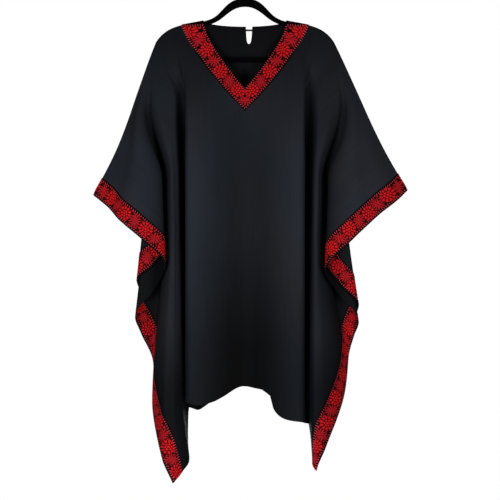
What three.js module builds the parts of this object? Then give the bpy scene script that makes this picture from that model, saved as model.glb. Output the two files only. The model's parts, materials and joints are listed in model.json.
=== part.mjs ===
import * as THREE from "three";

// A poncho kaftan with trimmed edges on a thin flocked hanger.
// Millimetres. +Z is up, the front faces -Y and the origin is the inside top of the hook.

// Cloth
const clothThickness = 1.2;
const seamGap = 0.3;
const trimThickness = 1.1;
const trimWidth = 45;
const frontDepth = 34;
const backDepth = 36;

// Cut of the panels, from the shoulder tips where the hanger ends
const shoulderX = 213;
const shoulderZ = -165;
const neckX = 101;
const neckZ = -114;
const shoulderPitch = 0.2;
const shoulderTipDrop = 28.6;
const seamAngle = 16;
const sleeveReach = 382;

// Neck
const veeDepth = 163;
const veePower = 0.75;
const veeStartSlope = 3.75;
const veeTrimX = 152;
const veeTrimDepth = 219;
const veeTrimPower = 0.7;
const backNeckX = 99;
const backNeckDip = 14;
const keyholeX = 10;
const keyholeHalfWidth = 8;
const keyholeDrop = 41;

// Where front and back part round the hanger, and where the folds start below it
const hangerClearance = 4.2;
const flapClearance = 2.5;
const cuffClearance = 8;
const hangerBottomZ = -216;
const foldRun = 190;
const shiftRun = 150;
const toeStart = 850;
const toeEnd = 1050;
const tuckStart = 440;
const tuckEnd = 860;
const overlapStart = 130;
const overlapEnd = 330;
const innerLean = -6;
const sagEnd = 45;

// Hanger
const hangerThickness = 5;
const hangerTopGap = 2.7;
const hookWireRadius = 1.75;
const hookInnerRadius = 20;

// Fastening behind the neck
const buttonRadius = 5;
const buttonX = 22;
const buttonZ = -137;
const threadRadius = 0.8;
const loopHeight = 3.2;
const loopStretch = 11;

// Folds of each hanging side, as rays from the shoulder tip. For each ray: its angle below level in
// the cut of the front (flat) and of the back (back), its lean outwards (out) and forwards (fore),
// in degrees, and how far it is set outwards (shift) and forwards (step) below the hanger and
// outwards again near the hem (toe) or above the sleeve's edge (tuck).
const leftFolds = [
  { name: "sleeve seam", flat: 16, back: 16, out: 22.2, shift: 0, fore: 0, step: 0, toe: 0, tuck: 0 },
  { name: "sleeve front", flat: 23.5, back: 23, out: 14.8, shift: 0, fore: 2.4, step: 0, toe: 0, tuck: 0 },
  { name: "sleeve middle", flat: 30.8, back: 29.5, out: 9.7, shift: 0, fore: 6, step: 0, toe: 0, tuck: 0 },
  { name: "before fold", flat: 37.5, back: 34.8, out: 3.4, shift: 0, fore: 7, step: 0, toe: 0, tuck: 0 },
  { name: "first fold", flat: 43.9, back: 40, out: -2.1, shift: 0, fore: 4.8, step: 0, toe: 0, tuck: 0 },
  { name: "second face", flat: 49.9, back: 44.5, out: 0.6, shift: 0, fore: 0.4, step: 0, toe: 0, tuck: 0 },
  { name: "second fold", flat: 54.3, back: 48, out: 4.95, shift: 0, fore: -1, step: -3, toe: 0, tuck: -8 },
  { name: "third face", flat: 57, back: 51.5, out: 3.5, shift: 0, fore: -2.6, step: -7, toe: 0, tuck: -8 },
  { name: "behind ridge", flat: 60.6, back: 57, out: 0.6, shift: 0, fore: -2.8, step: -8, toe: 0, tuck: -20 },
  { name: "ridge wall", flat: 64.5, back: 62.5, out: 0.45, shift: -3, fore: 0.6, step: -3, toe: 0, tuck: -26 },
  { name: "ridge", flat: 67.6, back: 67, out: -0.4, shift: -14, fore: 3.2, step: 0, toe: 0, tuck: -20 },
  { name: "corner", flat: 68.9, back: 68.7, out: -0.7, shift: -28, fore: 3.5, step: 0, toe: -3, tuck: -9 },
  { name: "ridge end", flat: 70.8, back: 70.7, out: -0.7, shift: -39, fore: 3, step: 0, toe: -12, tuck: 0 },
  { name: "valley lip", flat: 72.5, back: 72.5, out: -0.9, shift: -45, fore: 2.2, step: 0, toe: -18, tuck: 0 },
  { name: "valley wall", flat: 76, back: 76, out: -1.1, shift: -46, fore: 1.2, step: -10, toe: -14, tuck: 0 },
  { name: "valley foot", flat: 82, back: 82, out: -1.3, shift: -49, fore: 0.3, step: -26, toe: -8, tuck: 0 },
  { name: "valley", flat: 90, back: 90, out: -1.5, shift: -52, fore: 0, step: -33, toe: 0, tuck: 0 },
];
const rightFolds = [
  { name: "sleeve seam", flat: 16, back: 16, out: 26.3, shift: 0, fore: 0, step: 0, toe: 0, tuck: 0 },
  { name: "sleeve front", flat: 20.7, back: 20.7, out: 21.9, shift: 0, fore: 1.8, step: 0, toe: 0, tuck: 0 },
  { name: "sleeve middle", flat: 27, back: 26.5, out: 14.4, shift: 0, fore: 4.2, step: 0, toe: 0, tuck: 0 },
  { name: "before fold", flat: 37.5, back: 36.5, out: 4.8, shift: 0, fore: 6.8, step: 0, toe: 0, tuck: 0 },
  { name: "first fold", flat: 45.6, back: 44.5, out: -1.9, shift: 0, fore: 4.6, step: 0, toe: 0, tuck: 0 },
  { name: "second face", flat: 50.5, back: 48.8, out: 1.1, shift: 0, fore: 0.4, step: 0, toe: 0, tuck: 0 },
  { name: "second fold", flat: 55, back: 52.6, out: 5.9, shift: 0, fore: -0.9, step: -3, toe: 0, tuck: -16 },
  { name: "third face", flat: 57.4, back: 55.4, out: 4.5, shift: 0, fore: -2.4, step: -7, toe: 0, tuck: -12 },
  { name: "behind ridge", flat: 60.6, back: 59, out: 2.8, shift: 0, fore: -2.8, step: -8, toe: 0, tuck: -38 },
  { name: "ridge wall", flat: 64, back: 63, out: 1.2, shift: -2, fore: -0.2, step: -3, toe: 0, tuck: -33 },
  { name: "ridge", flat: 67, back: 66.7, out: -0.6, shift: -16, fore: 2.5, step: 0, toe: 0, tuck: -19 },
  { name: "corner", flat: 68.1, back: 68, out: -1.2, shift: -24, fore: 3, step: 0, toe: 2, tuck: -9 },
  { name: "ridge end", flat: 70.5, back: 70.4, out: -0.9, shift: -36, fore: 2.7, step: 0, toe: 3, tuck: -3 },
  { name: "valley lip", flat: 72.5, back: 72.5, out: -0.8, shift: -41, fore: 2.1, step: 0, toe: 6, tuck: 0 },
  { name: "valley wall", flat: 76, back: 76, out: -0.8, shift: -45, fore: 1.2, step: -10, toe: 12, tuck: 0 },
  { name: "valley foot", flat: 82, back: 82, out: -0.8, shift: -50, fore: 0.3, step: -26, toe: 24, tuck: 0 },
  { name: "valley", flat: 90, back: 90, out: -0.8, shift: -55, fore: 0, step: -33, toe: 42, tuck: 0 },
];

// Cross-section of the front between the two valleys, well below the hanger: half width in the cut
// against distance from the middle and forward place.
const frontSection = [
  { name: "middle", cut: 0, x: 0, y: -38 },
  { name: "face", cut: 105, x: 105, y: -39 },
  { name: "face end", cut: 130, x: 129, y: -37 },
  { name: "limb", cut: 142, x: 139, y: -32 },
  { name: "wall", cut: 158, x: 143, y: -17 },
  { name: "valley foot", cut: 185, x: 147, y: 10 },
  { name: "valley", cut: 213, x: 156, y: 30 },
];

// Heights of the hems against the cut, from the left shoulder tip to the right one
const frontHem = [
  { cut: -213, z: -1047 },
  { cut: -146, z: -1027 },
  { cut: -115, z: -1034 },
  { cut: -77, z: -1026 },
  { cut: -53, z: -1014 },
  { cut: -12, z: -990 },
  { cut: 24, z: -993 },
  { cut: 58, z: -1008 },
  { cut: 68, z: -1043 },
  { cut: 91, z: -1065 },
  { cut: 134, z: -1074 },
  { cut: 213, z: -1086 },
];
const backHem = [
  { cut: -213, z: -1047 },
  { cut: -160, z: -1052 },
  { cut: 0, z: -986 },
  { cut: 160, z: -1062 },
  { cut: 213, z: -1086 },
];

const sides = {
  left: { sign: -1, folds: leftFolds, cornerDrop: 982, tipHem: 882, seamSag: 2.6 },
  right: { sign: 1, folds: rightFolds, cornerDrop: 952, tipHem: 921, seamSag: 1.8 },
};

// Stations across each hanging side, in degrees of the cut, from the seam to the valley
const sleeveStations = [16, 16.3, 17, 18.6, 21, 24.5, 28.5, 32.5, 36, 39, 41.5, 43.5, 45.5, 47.8, 50.2, 52.4];
const edgeStations = [54.2, 55.8, 57.8, 60, 62, 64, 66, 67.6];
const hemStations = [70.4, 72.2, 74.5, 78, 82, 86, 90];
// Stations across the body, in the cut, from a shoulder tip to the middle
const shoulderStations = [206, 196, 185, 173, 162, 152, 145, 138, 129, 115, 101];
const frontStations = [...shoulderStations, 100.6, 99.8, 97.4, 91, 84, 68, 58, 40, 20, 8];
const backStations = [...shoulderStations, 99, 98.7, 96.5, 88, 76, 60, 42, 28];
const keyholeStations = [-8.3, -7.9, -6.8, -4.5, 0, 4.5, 6.8, 7.9, 8.3];

// Rows down each panel: five above the first, then the fall, then the trim
const seamRows = [0, 1.5, 4.5, 12];
const tipRow = 30;
const fallRows = 9;
const fallPower = 1.4;
const trimRows = 2;
const trimTopRow = seamRows.length + fallRows - 1;
const lastRow = trimTopRow + trimRows;

// Gentle waves of the back panel, and the soft creases of the front
const backWaveLength = 71;
const backWaveDepth = 6;
const creaseX = -8;
const creaseWidth = 16;
const creaseDepth = 4;

function radians(degrees) {
  return (degrees * Math.PI) / 180;
}

function clamp(value, low, high) {
  return Math.min(high, Math.max(low, value));
}

function ramp(value, start, end) {
  const t = clamp((value - start) / (end - start), 0, 1);
  return t * t * (3 - 2 * t);
}

function mix(a, b, t) {
  return a + (b - a) * t;
}

// Smooth curve through the rows of a table: column `out` at `value` of column `key`.
function readTable(rows, key, out, value) {
  const last = rows.length - 1;
  const v = clamp(value, rows[0][key], rows[last][key]);
  let i = 0;
  while (i < last - 1 && v > rows[i + 1][key]) i += 1;
  const slope = (j) => {
    const lower = Math.max(0, j - 1);
    const upper = Math.min(last, j + 1);
    return (rows[upper][out] - rows[lower][out]) / (rows[upper][key] - rows[lower][key]);
  };
  const span = rows[i + 1][key] - rows[i][key];
  const t = (v - rows[i][key]) / span;
  const startWeight = 2 * t ** 3 - 3 * t ** 2 + 1;
  const startSlope = t ** 3 - 2 * t ** 2 + t;
  const endSlope = t ** 3 - t ** 2;
  return (
    startWeight * rows[i][out] +
    startSlope * span * slope(i) +
    (1 - startWeight) * rows[i + 1][out] +
    endSlope * span * slope(i + 1)
  );
}

// Height of the shoulder seam, which runs along the top of the hanger.
function shoulderHeight(cut) {
  const run = Math.abs(cut) - neckX;
  const drop = run > 0 ? shoulderTipDrop * (run / (shoulderX - neckX)) ** 5 : 0;
  return neckZ - shoulderPitch * run - drop;
}

// How far the folds have opened at a distance below the seam: none beside the hanger.
function foldOpening(cut, down) {
  const start = shoulderHeight(Math.min(Math.abs(cut), shoulderX)) - hangerBottomZ;
  return ramp(down, start, start + foldRun);
}

// Half of the gap between front and back, which closes in a round edge at the seam.
function halfGap(flat, distance) {
  const fromSeam = distance * Math.sin(radians(flat - seamAngle));
  const round = (radius) => {
    const inside = clamp(1 - fromSeam / radius, 0, 1);
    return Math.sqrt(1 - inside * inside);
  };
  const open = foldOpening(shoulderX, distance);
  const cuff = ramp(flat, 17, 24) * (1 - ramp(flat, 32, 39));
  const opened = mix(flapClearance, cuffClearance, cuff * ramp(distance, 200, 360));
  const radius = mix(hangerClearance, opened, open);
  return seamGap / 2 + radius * round(hangerClearance);
}

// Middle surface between the front and back of a hanging side.
function sidePoint(side, flat, distance) {
  const fold = (column) => readTable(side.folds, "flat", column, flat);
  const open = foldOpening(shoulderX, distance);
  const overlap = ramp(distance, overlapStart, overlapEnd);
  const seamOut = side.folds[0].out;
  const flatOut = mix(seamOut, innerLean, (flat - seamAngle) / (90 - seamAngle));
  const sagFade = 1 - ramp(flat, seamAngle, sagEnd);
  const sag = side.seamSag * Math.sin(Math.PI * clamp(distance / sleeveReach, 0, 1)) * sagFade;
  const out = radians(mix(flatOut, fold("out"), overlap) - sag);
  const fore = radians(fold("fore") * open);
  const toe = fold("toe") * ramp(distance, toeStart, toeEnd);
  const tuck = fold("tuck") * overlap * (1 - ramp(distance, tuckStart, tuckEnd));
  const x = distance * Math.sin(out) + fold("shift") * ramp(distance, 0, shiftRun) + toe + tuck;
  const y = -distance * Math.sin(fore) - fold("step") * open;
  const fall = Math.sqrt(Math.max(distance ** 2 - x ** 2 - y ** 2, (0.6 * distance) ** 2));
  return new THREE.Vector3(side.sign * (shoulderX + x), y, shoulderZ - fall);
}

// Outward normal of that middle surface, on the front's side.
function sideNormal(side, flat, distance) {
  const stepAngle = 0.25;
  const stepDown = 2;
  const reach = Math.max(distance, 6);
  const across = sidePoint(side, Math.min(flat + stepAngle, 90), reach);
  across.sub(sidePoint(side, Math.max(flat - stepAngle, seamAngle), reach));
  const down = sidePoint(side, flat, reach + stepDown).sub(sidePoint(side, flat, reach - stepDown));
  return across.cross(down).multiplyScalar(side.sign).normalize();
}

// Point of the front (face 1) or back (face -1) of a hanging side.
function flapPoint(side, face, flat, distance) {
  const point = sidePoint(side, flat, distance);
  const normal = sideNormal(side, flat, distance);
  return point.addScaledVector(normal, face * halfGap(flat, distance));
}

// Forward place of the cloth just below a shoulder seam, round the hanger.
function roundShoulder(down) {
  const inside = clamp(1 - down / hangerClearance, 0, 1);
  return seamGap / 2 + hangerClearance * Math.sqrt(1 - inside * inside);
}

function frontBodyPlain(cut, down) {
  const distance = Math.abs(cut);
  const open = foldOpening(cut, down);
  const spread = ramp(down, 0, shiftRun + 60);
  const x = mix(distance, readTable(frontSection, "cut", "x", distance), spread);
  const forward = -roundShoulder(down) - (frontDepth - hangerClearance) * ramp(down, 8, 260);
  const across = (cut - creaseX) / creaseWidth;
  const crease = creaseDepth * Math.exp(-across * across) * ramp(down, 300, 520);
  const y = mix(forward, readTable(frontSection, "cut", "y", distance), open) + crease;
  return new THREE.Vector3(Math.sign(cut) * x, y, shoulderHeight(cut) - down);
}

function frontBody(cut, down) {
  const side = cut < 0 ? sides.left : sides.right;
  const point = frontBodyPlain(cut, down);
  const share = ramp(Math.abs(cut), 150, shoulderX);
  if (share > 0) {
    const tip = side.sign * shoulderX;
    const end = flapPoint(side, 1, 90, down).sub(frontBodyPlain(tip, down));
    point.addScaledVector(end, share);
  }
  return point;
}

function backBodyPlain(cut, down) {
  const distance = Math.abs(cut);
  const narrowing = mix(1, 156 / shoulderX, ramp(down, 0, shiftRun + 60));
  const backward = roundShoulder(down) + (backDepth - hangerClearance) * ramp(down, 8, 260);
  const phase = (2 * Math.PI * (shoulderX - distance)) / backWaveLength;
  const wave = backWaveDepth * (1 - Math.cos(phase)) * ramp(down, 120, 420);
  return new THREE.Vector3(cut * narrowing, backward + wave, shoulderHeight(cut) - down);
}

function backBody(cut, down) {
  const side = cut < 0 ? sides.left : sides.right;
  const point = backBodyPlain(cut, down);
  const share = ramp(Math.abs(cut), 120, shoulderX);
  if (share > 0) {
    const end = flapPoint(side, -1, 90, down).sub(backBodyPlain(side.sign * shoulderX, down));
    point.addScaledVector(end, share);
  }
  return point;
}

// Distance from the shoulder tip to the cut edge along a ray: the side edge, then the hem.
function edgeDistance(side, flat) {
  const slope = (side.cornerDrop - side.tipHem) / sleeveReach;
  const hem = side.tipHem / (Math.sin(radians(flat)) - slope * Math.cos(radians(flat)));
  const sideEdge = sleeveReach / Math.max(Math.cos(radians(flat)), 1e-6);
  return Math.min(hem, sideEdge);
}

function cornerAngle(side) {
  return (Math.atan2(side.cornerDrop, sleeveReach) * 180) / Math.PI;
}

// Distance from the shoulder tip to the inner edge of the trim, or to the last row but two.
function trimDistance(side, flat) {
  const edge = edgeDistance(side, flat);
  const inner = (sleeveReach - trimWidth) / Math.max(Math.cos(radians(flat)), 1e-6);
  const margin = 4 + 36 * ramp(flat, 71, 77);
  return Math.min(inner, edge - margin);
}

// Distances of the rows down one station, from the top of the cloth to its edge.
function rowDistances(top, first, inner, edge) {
  const rows = [...top, first];
  for (let i = 1; i <= fallRows - 1; i += 1) {
    rows.push(mix(first, inner, (i / (fallRows - 1)) ** fallPower));
  }
  for (let i = 1; i <= trimRows; i += 1) {
    rows.push(mix(inner, edge, i / trimRows));
  }
  return rows;
}

// One hanging side of a panel: a list of stations, each with its points down the rows. Front and
// back share their stations, so their walls stay parallel, but each has its own angles in the cut.
function flapGrid(side, face) {
  const column = face > 0 ? "flat" : "back";
  const corner = readTable(side.folds, column, "flat", cornerAngle(side));
  return [...sleeveStations, ...edgeStations, corner, ...hemStations].map((flat) => {
    const cutAngle = flat === corner ? cornerAngle(side) : readTable(side.folds, "flat", column, flat);
    const first = mix(0.07 * edgeDistance(side, cutAngle), tipRow, ramp(cutAngle, 60, 90));
    const rows = rowDistances(seamRows, first, trimDistance(side, cutAngle), edgeDistance(side, cutAngle));
    return rows.map((distance) => flapPoint(side, face, flat, distance));
  });
}

// Top edge and trim edge of the front, as distances below the line of the shoulder seams.
function veeTop(cut) {
  const fraction = clamp(1 - Math.abs(cut) / neckX, 0, 1);
  const start = veeStartSlope * Math.max(neckX - Math.abs(cut), 0);
  const line = Math.min(start, veeDepth * fraction ** veePower);
  return shoulderHeight(cut) - neckZ + line;
}

function veeTrimEdge(cut) {
  const fraction = clamp(1 - Math.abs(cut) / veeTrimX, 0, 1);
  return shoulderHeight(cut) - neckZ + veeTrimDepth * fraction ** veeTrimPower;
}

function frontColumn(cut) {
  const distance = Math.abs(cut);
  const edge = shoulderHeight(cut) - readTable(frontHem, "cut", "z", cut);
  if (distance < neckX) {
    const top = veeTop(cut);
    const outer = veeTrimEdge(cut);
    const inwards = ramp(neckX - distance, 0, 45);
    const rows = seamRows.map((row, i) => top + mix(row, (outer - top) * (i / seamRows.length), inwards));
    return rowDistances(rows, outer, edge - 40, edge).map((down) => frontBody(cut, down));
  }
  const outer = Math.max(veeTrimEdge(cut), mix(18, tipRow, ramp(distance, veeTrimX, shoulderX)));
  return rowDistances(seamRows, outer, edge - 40, edge).map((down) => frontBody(cut, down));
}

function backNeck(cut) {
  const fraction = clamp(1 - (cut / backNeckX) ** 2, 0, 1);
  const neck = neckZ - backNeckDip * Math.sqrt(fraction);
  const across = clamp(Math.abs(cut - keyholeX) / keyholeHalfWidth, 0, 1);
  return neck - keyholeDrop * Math.sqrt(1 - across ** 3);
}

function backColumn(cut) {
  const edge = shoulderHeight(cut) - readTable(backHem, "cut", "z", cut);
  const distance = Math.abs(cut);
  if (distance < backNeckX) {
    const top = shoulderHeight(cut) - backNeck(cut);
    const first = 110;
    const inwards = ramp(backNeckX - distance, 0, 45);
    const spread = (i) => (first - top) * (i / seamRows.length) ** fallPower;
    const rows = seamRows.map((row, i) => top + mix(row, spread(i), inwards));
    return rowDistances(rows, first, edge - 40, edge).map((down) => backBody(cut, down));
  }
  const first = mix(70, tipRow, ramp(distance, backNeckX, shoulderX));
  return rowDistances(seamRows, first, edge - 40, edge).map((down) => backBody(cut, down));
}

// A whole panel from left edge to right edge. Near a shoulder tip the short rows of the hanging
// side shrink to the tip itself.
function panelGrid(face) {
  const left = flapGrid(sides.left, face);
  const right = flapGrid(sides.right, face).reverse();
  const bodyStations = face > 0 ? frontStations : backStations;
  const middle = face > 0 ? [0] : keyholeStations.map((place) => keyholeX + place);
  const leftCuts = bodyStations.map((cut) => -cut);
  const rightCuts = [...bodyStations].reverse().filter((cut) => cut > Math.max(...middle) + 1);
  const cuts = [...leftCuts, ...middle, ...rightCuts];
  const body = cuts.map((cut) => (face > 0 ? frontColumn(cut) : backColumn(cut)));
  const points = [...left, ...body, ...right];
  return { face, points, leftTip: left.length - 1, rightTip: left.length + body.length };
}

// Which vertex a place of the grid uses: rows near a tip are the tip's own vertex.
function sharedPlace(grid, column, row) {
  if (row >= seamRows.length - 1) return [column, row];
  if (column < grid.leftTip) return [grid.leftTip, 0];
  if (column > grid.rightTip) return [grid.rightTip, 0];
  return [column, row];
}

// Outward normals of a grid, averaged from its triangles. Along the seams they lie in the plane
// between front and back, so that the two panels meet edge to edge.
function gridNormals(grid) {
  const columns = grid.points.length;
  const rows = grid.points[0].length;
  const normals = grid.points.map((column) => column.map(() => new THREE.Vector3()));
  const place = (c, r) => sharedPlace(grid, c, r);
  for (let c = 0; c < columns - 1; c += 1) {
    for (let r = 0; r < rows - 1; r += 1) {
      const corners = [place(c, r), place(c + 1, r), place(c + 1, r + 1), place(c, r + 1)];
      const spots = corners.map(([i, j]) => grid.points[i][j]);
      const first = spots[2].clone().sub(spots[0]);
      const second = spots[3].clone().sub(spots[1]);
      const normal = first.cross(second).multiplyScalar(-grid.face);
      if (normal.lengthSq() < 1e-12) continue;
      normal.normalize();
      corners.forEach(([i, j]) => normals[i][j].add(normal));
    }
  }
  for (let c = 0; c < columns; c += 1) {
    for (let r = 0; r < rows; r += 1) {
      const [i, j] = place(c, r);
      const onSleeveSeam = i === 0 || i === columns - 1;
      const onShoulderSeam = j === 0;
      if (onSleeveSeam || onShoulderSeam) normals[i][j].y = 0;
      if (normals[i][j].lengthSq() > 0) normals[i][j].normalize();
    }
  }
  return normals;
}

// A closed wall over part of a grid, between two distances along the normals.
function wallGeometry(grid, normals, area, inner, outer) {
  const positions = [];
  const indices = [];
  const vertexOf = new Map();
  const vertex = (c, r, layer) => {
    const [i, j] = sharedPlace(grid, c, r);
    const key = `${i},${j},${layer}`;
    if (!vertexOf.has(key)) {
      const offset = layer === 0 ? inner : outer;
      const point = grid.points[i][j].clone().addScaledVector(normals[i][j], offset);
      vertexOf.set(key, positions.length / 3);
      positions.push(point.x, point.y, point.z);
    }
    return vertexOf.get(key);
  };
  const triangle = (a, b, c) => {
    if (a === b || b === c || c === a) return;
    if (grid.face > 0) indices.push(a, c, b);
    else indices.push(a, b, c);
  };
  const quad = (a, b, c, d) => {
    triangle(a, b, c);
    triangle(a, c, d);
  };
  const rim = (from, to) => {
    quad(vertex(...from, 0), vertex(...to, 0), vertex(...to, 1), vertex(...from, 1));
  };
  const { firstColumn, lastColumn, firstRow, endRow } = area;
  for (let c = firstColumn; c < lastColumn; c += 1) {
    for (let r = firstRow; r < endRow; r += 1) {
      quad(vertex(c, r, 1), vertex(c + 1, r, 1), vertex(c + 1, r + 1, 1), vertex(c, r + 1, 1));
      quad(vertex(c, r, 0), vertex(c, r + 1, 0), vertex(c + 1, r + 1, 0), vertex(c + 1, r, 0));
    }
    rim([c, firstRow], [c + 1, firstRow]);
    rim([c + 1, endRow], [c, endRow]);
  }
  for (let r = firstRow; r < endRow; r += 1) {
    rim([firstColumn, r + 1], [firstColumn, r]);
    rim([lastColumn, r], [lastColumn, r + 1]);
  }
  const geometry = new THREE.BufferGeometry();
  geometry.setAttribute("position", new THREE.Float32BufferAttribute(positions, 3));
  geometry.setIndex(indices);
  geometry.computeVertexNormals();
  return geometry;
}

// Materials
const cloth = new THREE.MeshStandardMaterial({ color: 0x14181b, roughness: 0.85, metalness: 0 });
const trim = new THREE.MeshStandardMaterial({ color: 0x7a1420, roughness: 0.8, metalness: 0 });
const flock = new THREE.MeshStandardMaterial({ color: 0x0c0c0d, roughness: 1, metalness: 0 });
const steel = new THREE.MeshStandardMaterial({ color: 0xb8babc, roughness: 0.3, metalness: 1 });
const thread = new THREE.MeshStandardMaterial({ color: 0x101214, roughness: 0.7, metalness: 0 });
const buttonBlack = new THREE.MeshStandardMaterial({ color: 0x0d0e10, roughness: 0.35, metalness: 0 });

const kaftan = new THREE.Group();

function addPiece(name, geometry, material) {
  const mesh = new THREE.Mesh(geometry, material);
  mesh.name = name;
  kaftan.add(mesh);
  return mesh;
}

// A panel and the trims that lie on its outer face.
function addPanel(panelName, face, trimNames) {
  const grid = panelGrid(face);
  const normals = gridNormals(grid);
  const lastColumn = grid.points.length - 1;
  const half = clothThickness / 2;
  const whole = { firstColumn: 0, lastColumn, firstRow: 0, endRow: lastRow };
  addPiece(panelName, wallGeometry(grid, normals, whole, -half, half), cloth);
  const trimBase = half + seamGap;
  const addTrim = (name, area) => {
    addPiece(name, wallGeometry(grid, normals, area, trimBase, trimBase + trimThickness), trim);
  };
  const edgeEnd = sleeveStations.length + edgeStations.length + 1;
  const edgeRows = { firstRow: trimTopRow, endRow: lastRow };
  addTrim(trimNames.left, { firstColumn: 0, lastColumn: edgeEnd, ...edgeRows });
  addTrim(trimNames.right, { firstColumn: lastColumn - edgeEnd, lastColumn, ...edgeRows });
  if (trimNames.neck) {
    const veeStart = grid.leftTip + 1 + frontStations.indexOf(veeTrimX);
    const veeEnd = grid.rightTip - 1 - frontStations.indexOf(veeTrimX);
    addTrim(trimNames.neck, {
      firstColumn: veeStart,
      lastColumn: veeEnd,
      firstRow: 0,
      endRow: seamRows.length,
    });
  }
}

addPanel("front_panel", 1, {
  left: "front_edge_trim_left",
  right: "front_edge_trim_right",
  neck: "neck_trim",
});
addPanel("back_panel", -1, { left: "back_edge_trim_left", right: "back_edge_trim_right" });

// Hanger body: arched neck, sloping arms under the shoulder seams and a straight lower bar.
const archOuter = [
  { x: 0, z: -60 },
  { x: 16, z: -61.5 },
  { x: 30, z: -66 },
  { x: 44, z: -76 },
  { x: 58, z: -92 },
  { x: 71, z: -105 },
  { x: 88, z: -113.6 },
];
const hangerEnd = [
  { x: 205.5, z: -161.5 },
  { x: 209, z: -174 },
  { x: 205, z: -192 },
  { x: 195, z: -207 },
  { x: 180, z: -214.5 },
];
const hangerInside = [
  { x: 0, z: -80 },
  { x: 15, z: -81.5 },
  { x: 30, z: -88 },
  { x: 47, z: -101 },
  { x: 62, z: -114 },
  { x: 84, z: -124 },
  { x: 101, z: -130 },
  { x: 145, z: -141 },
  { x: 180, z: -156 },
  { x: 193, z: -175 },
  { x: 188, z: -193 },
  { x: 176, z: -203 },
];

function mirroredOutline(rightHalf) {
  const leftHalf = [...rightHalf].reverse().map(({ x, z }) => ({ x: -x, z }));
  const points = [...rightHalf, ...leftHalf].filter((point, i, all) => {
    const before = all[(i + all.length - 1) % all.length];
    return Math.hypot(point.x - before.x, point.z - before.z) > 0.01;
  });
  return points.map((point) => new THREE.Vector2(point.x, point.z));
}

function hangerGeometry() {
  const armStations = shoulderStations.slice(1).reverse();
  const armTop = armStations.map((cut) => ({ x: cut, z: shoulderHeight(cut) - hangerTopGap }));
  const outline = mirroredOutline([...archOuter, ...armTop, ...hangerEnd]);
  const shape = new THREE.Shape(outline);
  shape.holes.push(new THREE.Path(mirroredOutline(hangerInside).reverse()));
  const geometry = new THREE.ExtrudeGeometry(shape, { depth: hangerThickness, bevelEnabled: false });
  geometry.rotateX(Math.PI / 2);
  geometry.translate(0, hangerThickness / 2, 0);
  return geometry;
}

// Hook: a straight stem and an open ring, its free end at the left.
function hookGeometry() {
  const radius = hookInnerRadius + hookWireRadius;
  const stem = [
    [0, -59.7],
    [0, -52],
    [2.2, -46.3],
    [8.5, -41.2],
  ];
  const points = stem.map(([x, z]) => new THREE.Vector3(x, 0, z));
  for (let angle = -38; angle <= 205; angle += 27) {
    const turn = radians(angle);
    points.push(new THREE.Vector3(radius * Math.cos(turn), 0, -hookInnerRadius + radius * Math.sin(turn)));
  }
  const wire = new THREE.Shape();
  wire.absarc(0, 0, hookWireRadius, 0, 2 * Math.PI, false);
  return new THREE.ExtrudeGeometry(wire, {
    steps: 36,
    curveSegments: 5,
    extrudePath: new THREE.CatmullRomCurve3(points),
  });
}

addPiece("hanger_body", hangerGeometry(), flock);
addPiece("hanger_hook", hookGeometry(), steel);

// Button on the back's outer face and the thread loop that is passed over it.
function fasteningDepth(x) {
  const down = shoulderHeight(x) - buttonZ + loopHeight + threadRadius;
  return backBody(x, down).y + clothThickness / 2;
}

function buttonGeometry() {
  const stemRadius = 1.2;
  const stemLength = 2.6;
  const headThickness = 3;
  const profile = [
    new THREE.Vector2(0, 0),
    new THREE.Vector2(stemRadius, 0),
    new THREE.Vector2(stemRadius, stemLength),
    new THREE.Vector2(buttonRadius - 1, stemLength),
    new THREE.Vector2(buttonRadius, stemLength + headThickness / 2),
    new THREE.Vector2(buttonRadius - 1.4, stemLength + headThickness),
    new THREE.Vector2(0, stemLength + headThickness),
  ];
  return new THREE.LatheGeometry(profile, 14);
}

const button = addPiece("back_button", buttonGeometry(), buttonBlack);
button.position.set(buttonX, fasteningDepth(buttonX) + seamGap, buttonZ);

// A ring of thread with its two halves drawn apart.
function loopGeometry() {
  const ring = new THREE.TorusGeometry(loopHeight, threadRadius, 8, 20);
  const position = ring.attributes.position;
  for (let i = 0; i < position.count; i += 1) {
    const x = position.getX(i);
    const half = Math.abs(x) < 0.01 ? 0 : Math.sign(x);
    position.setX(i, x + half * loopStretch);
  }
  return ring.rotateX(Math.PI / 2);
}

const loop = addPiece("button_loop", loopGeometry(), thread);
loop.position.set(buttonX - loopStretch, fasteningDepth(buttonX) + seamGap + threadRadius, buttonZ);

export default kaftan;
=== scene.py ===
"""Looks of a wide kaftan with flowered ribbon edges, hanging on a flat flocked hanger.

Metres. +Z is up, the front faces -Y and the origin is the inside top of the hanger's hook.
"""

import json
import math
from functools import partialmethod

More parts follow.
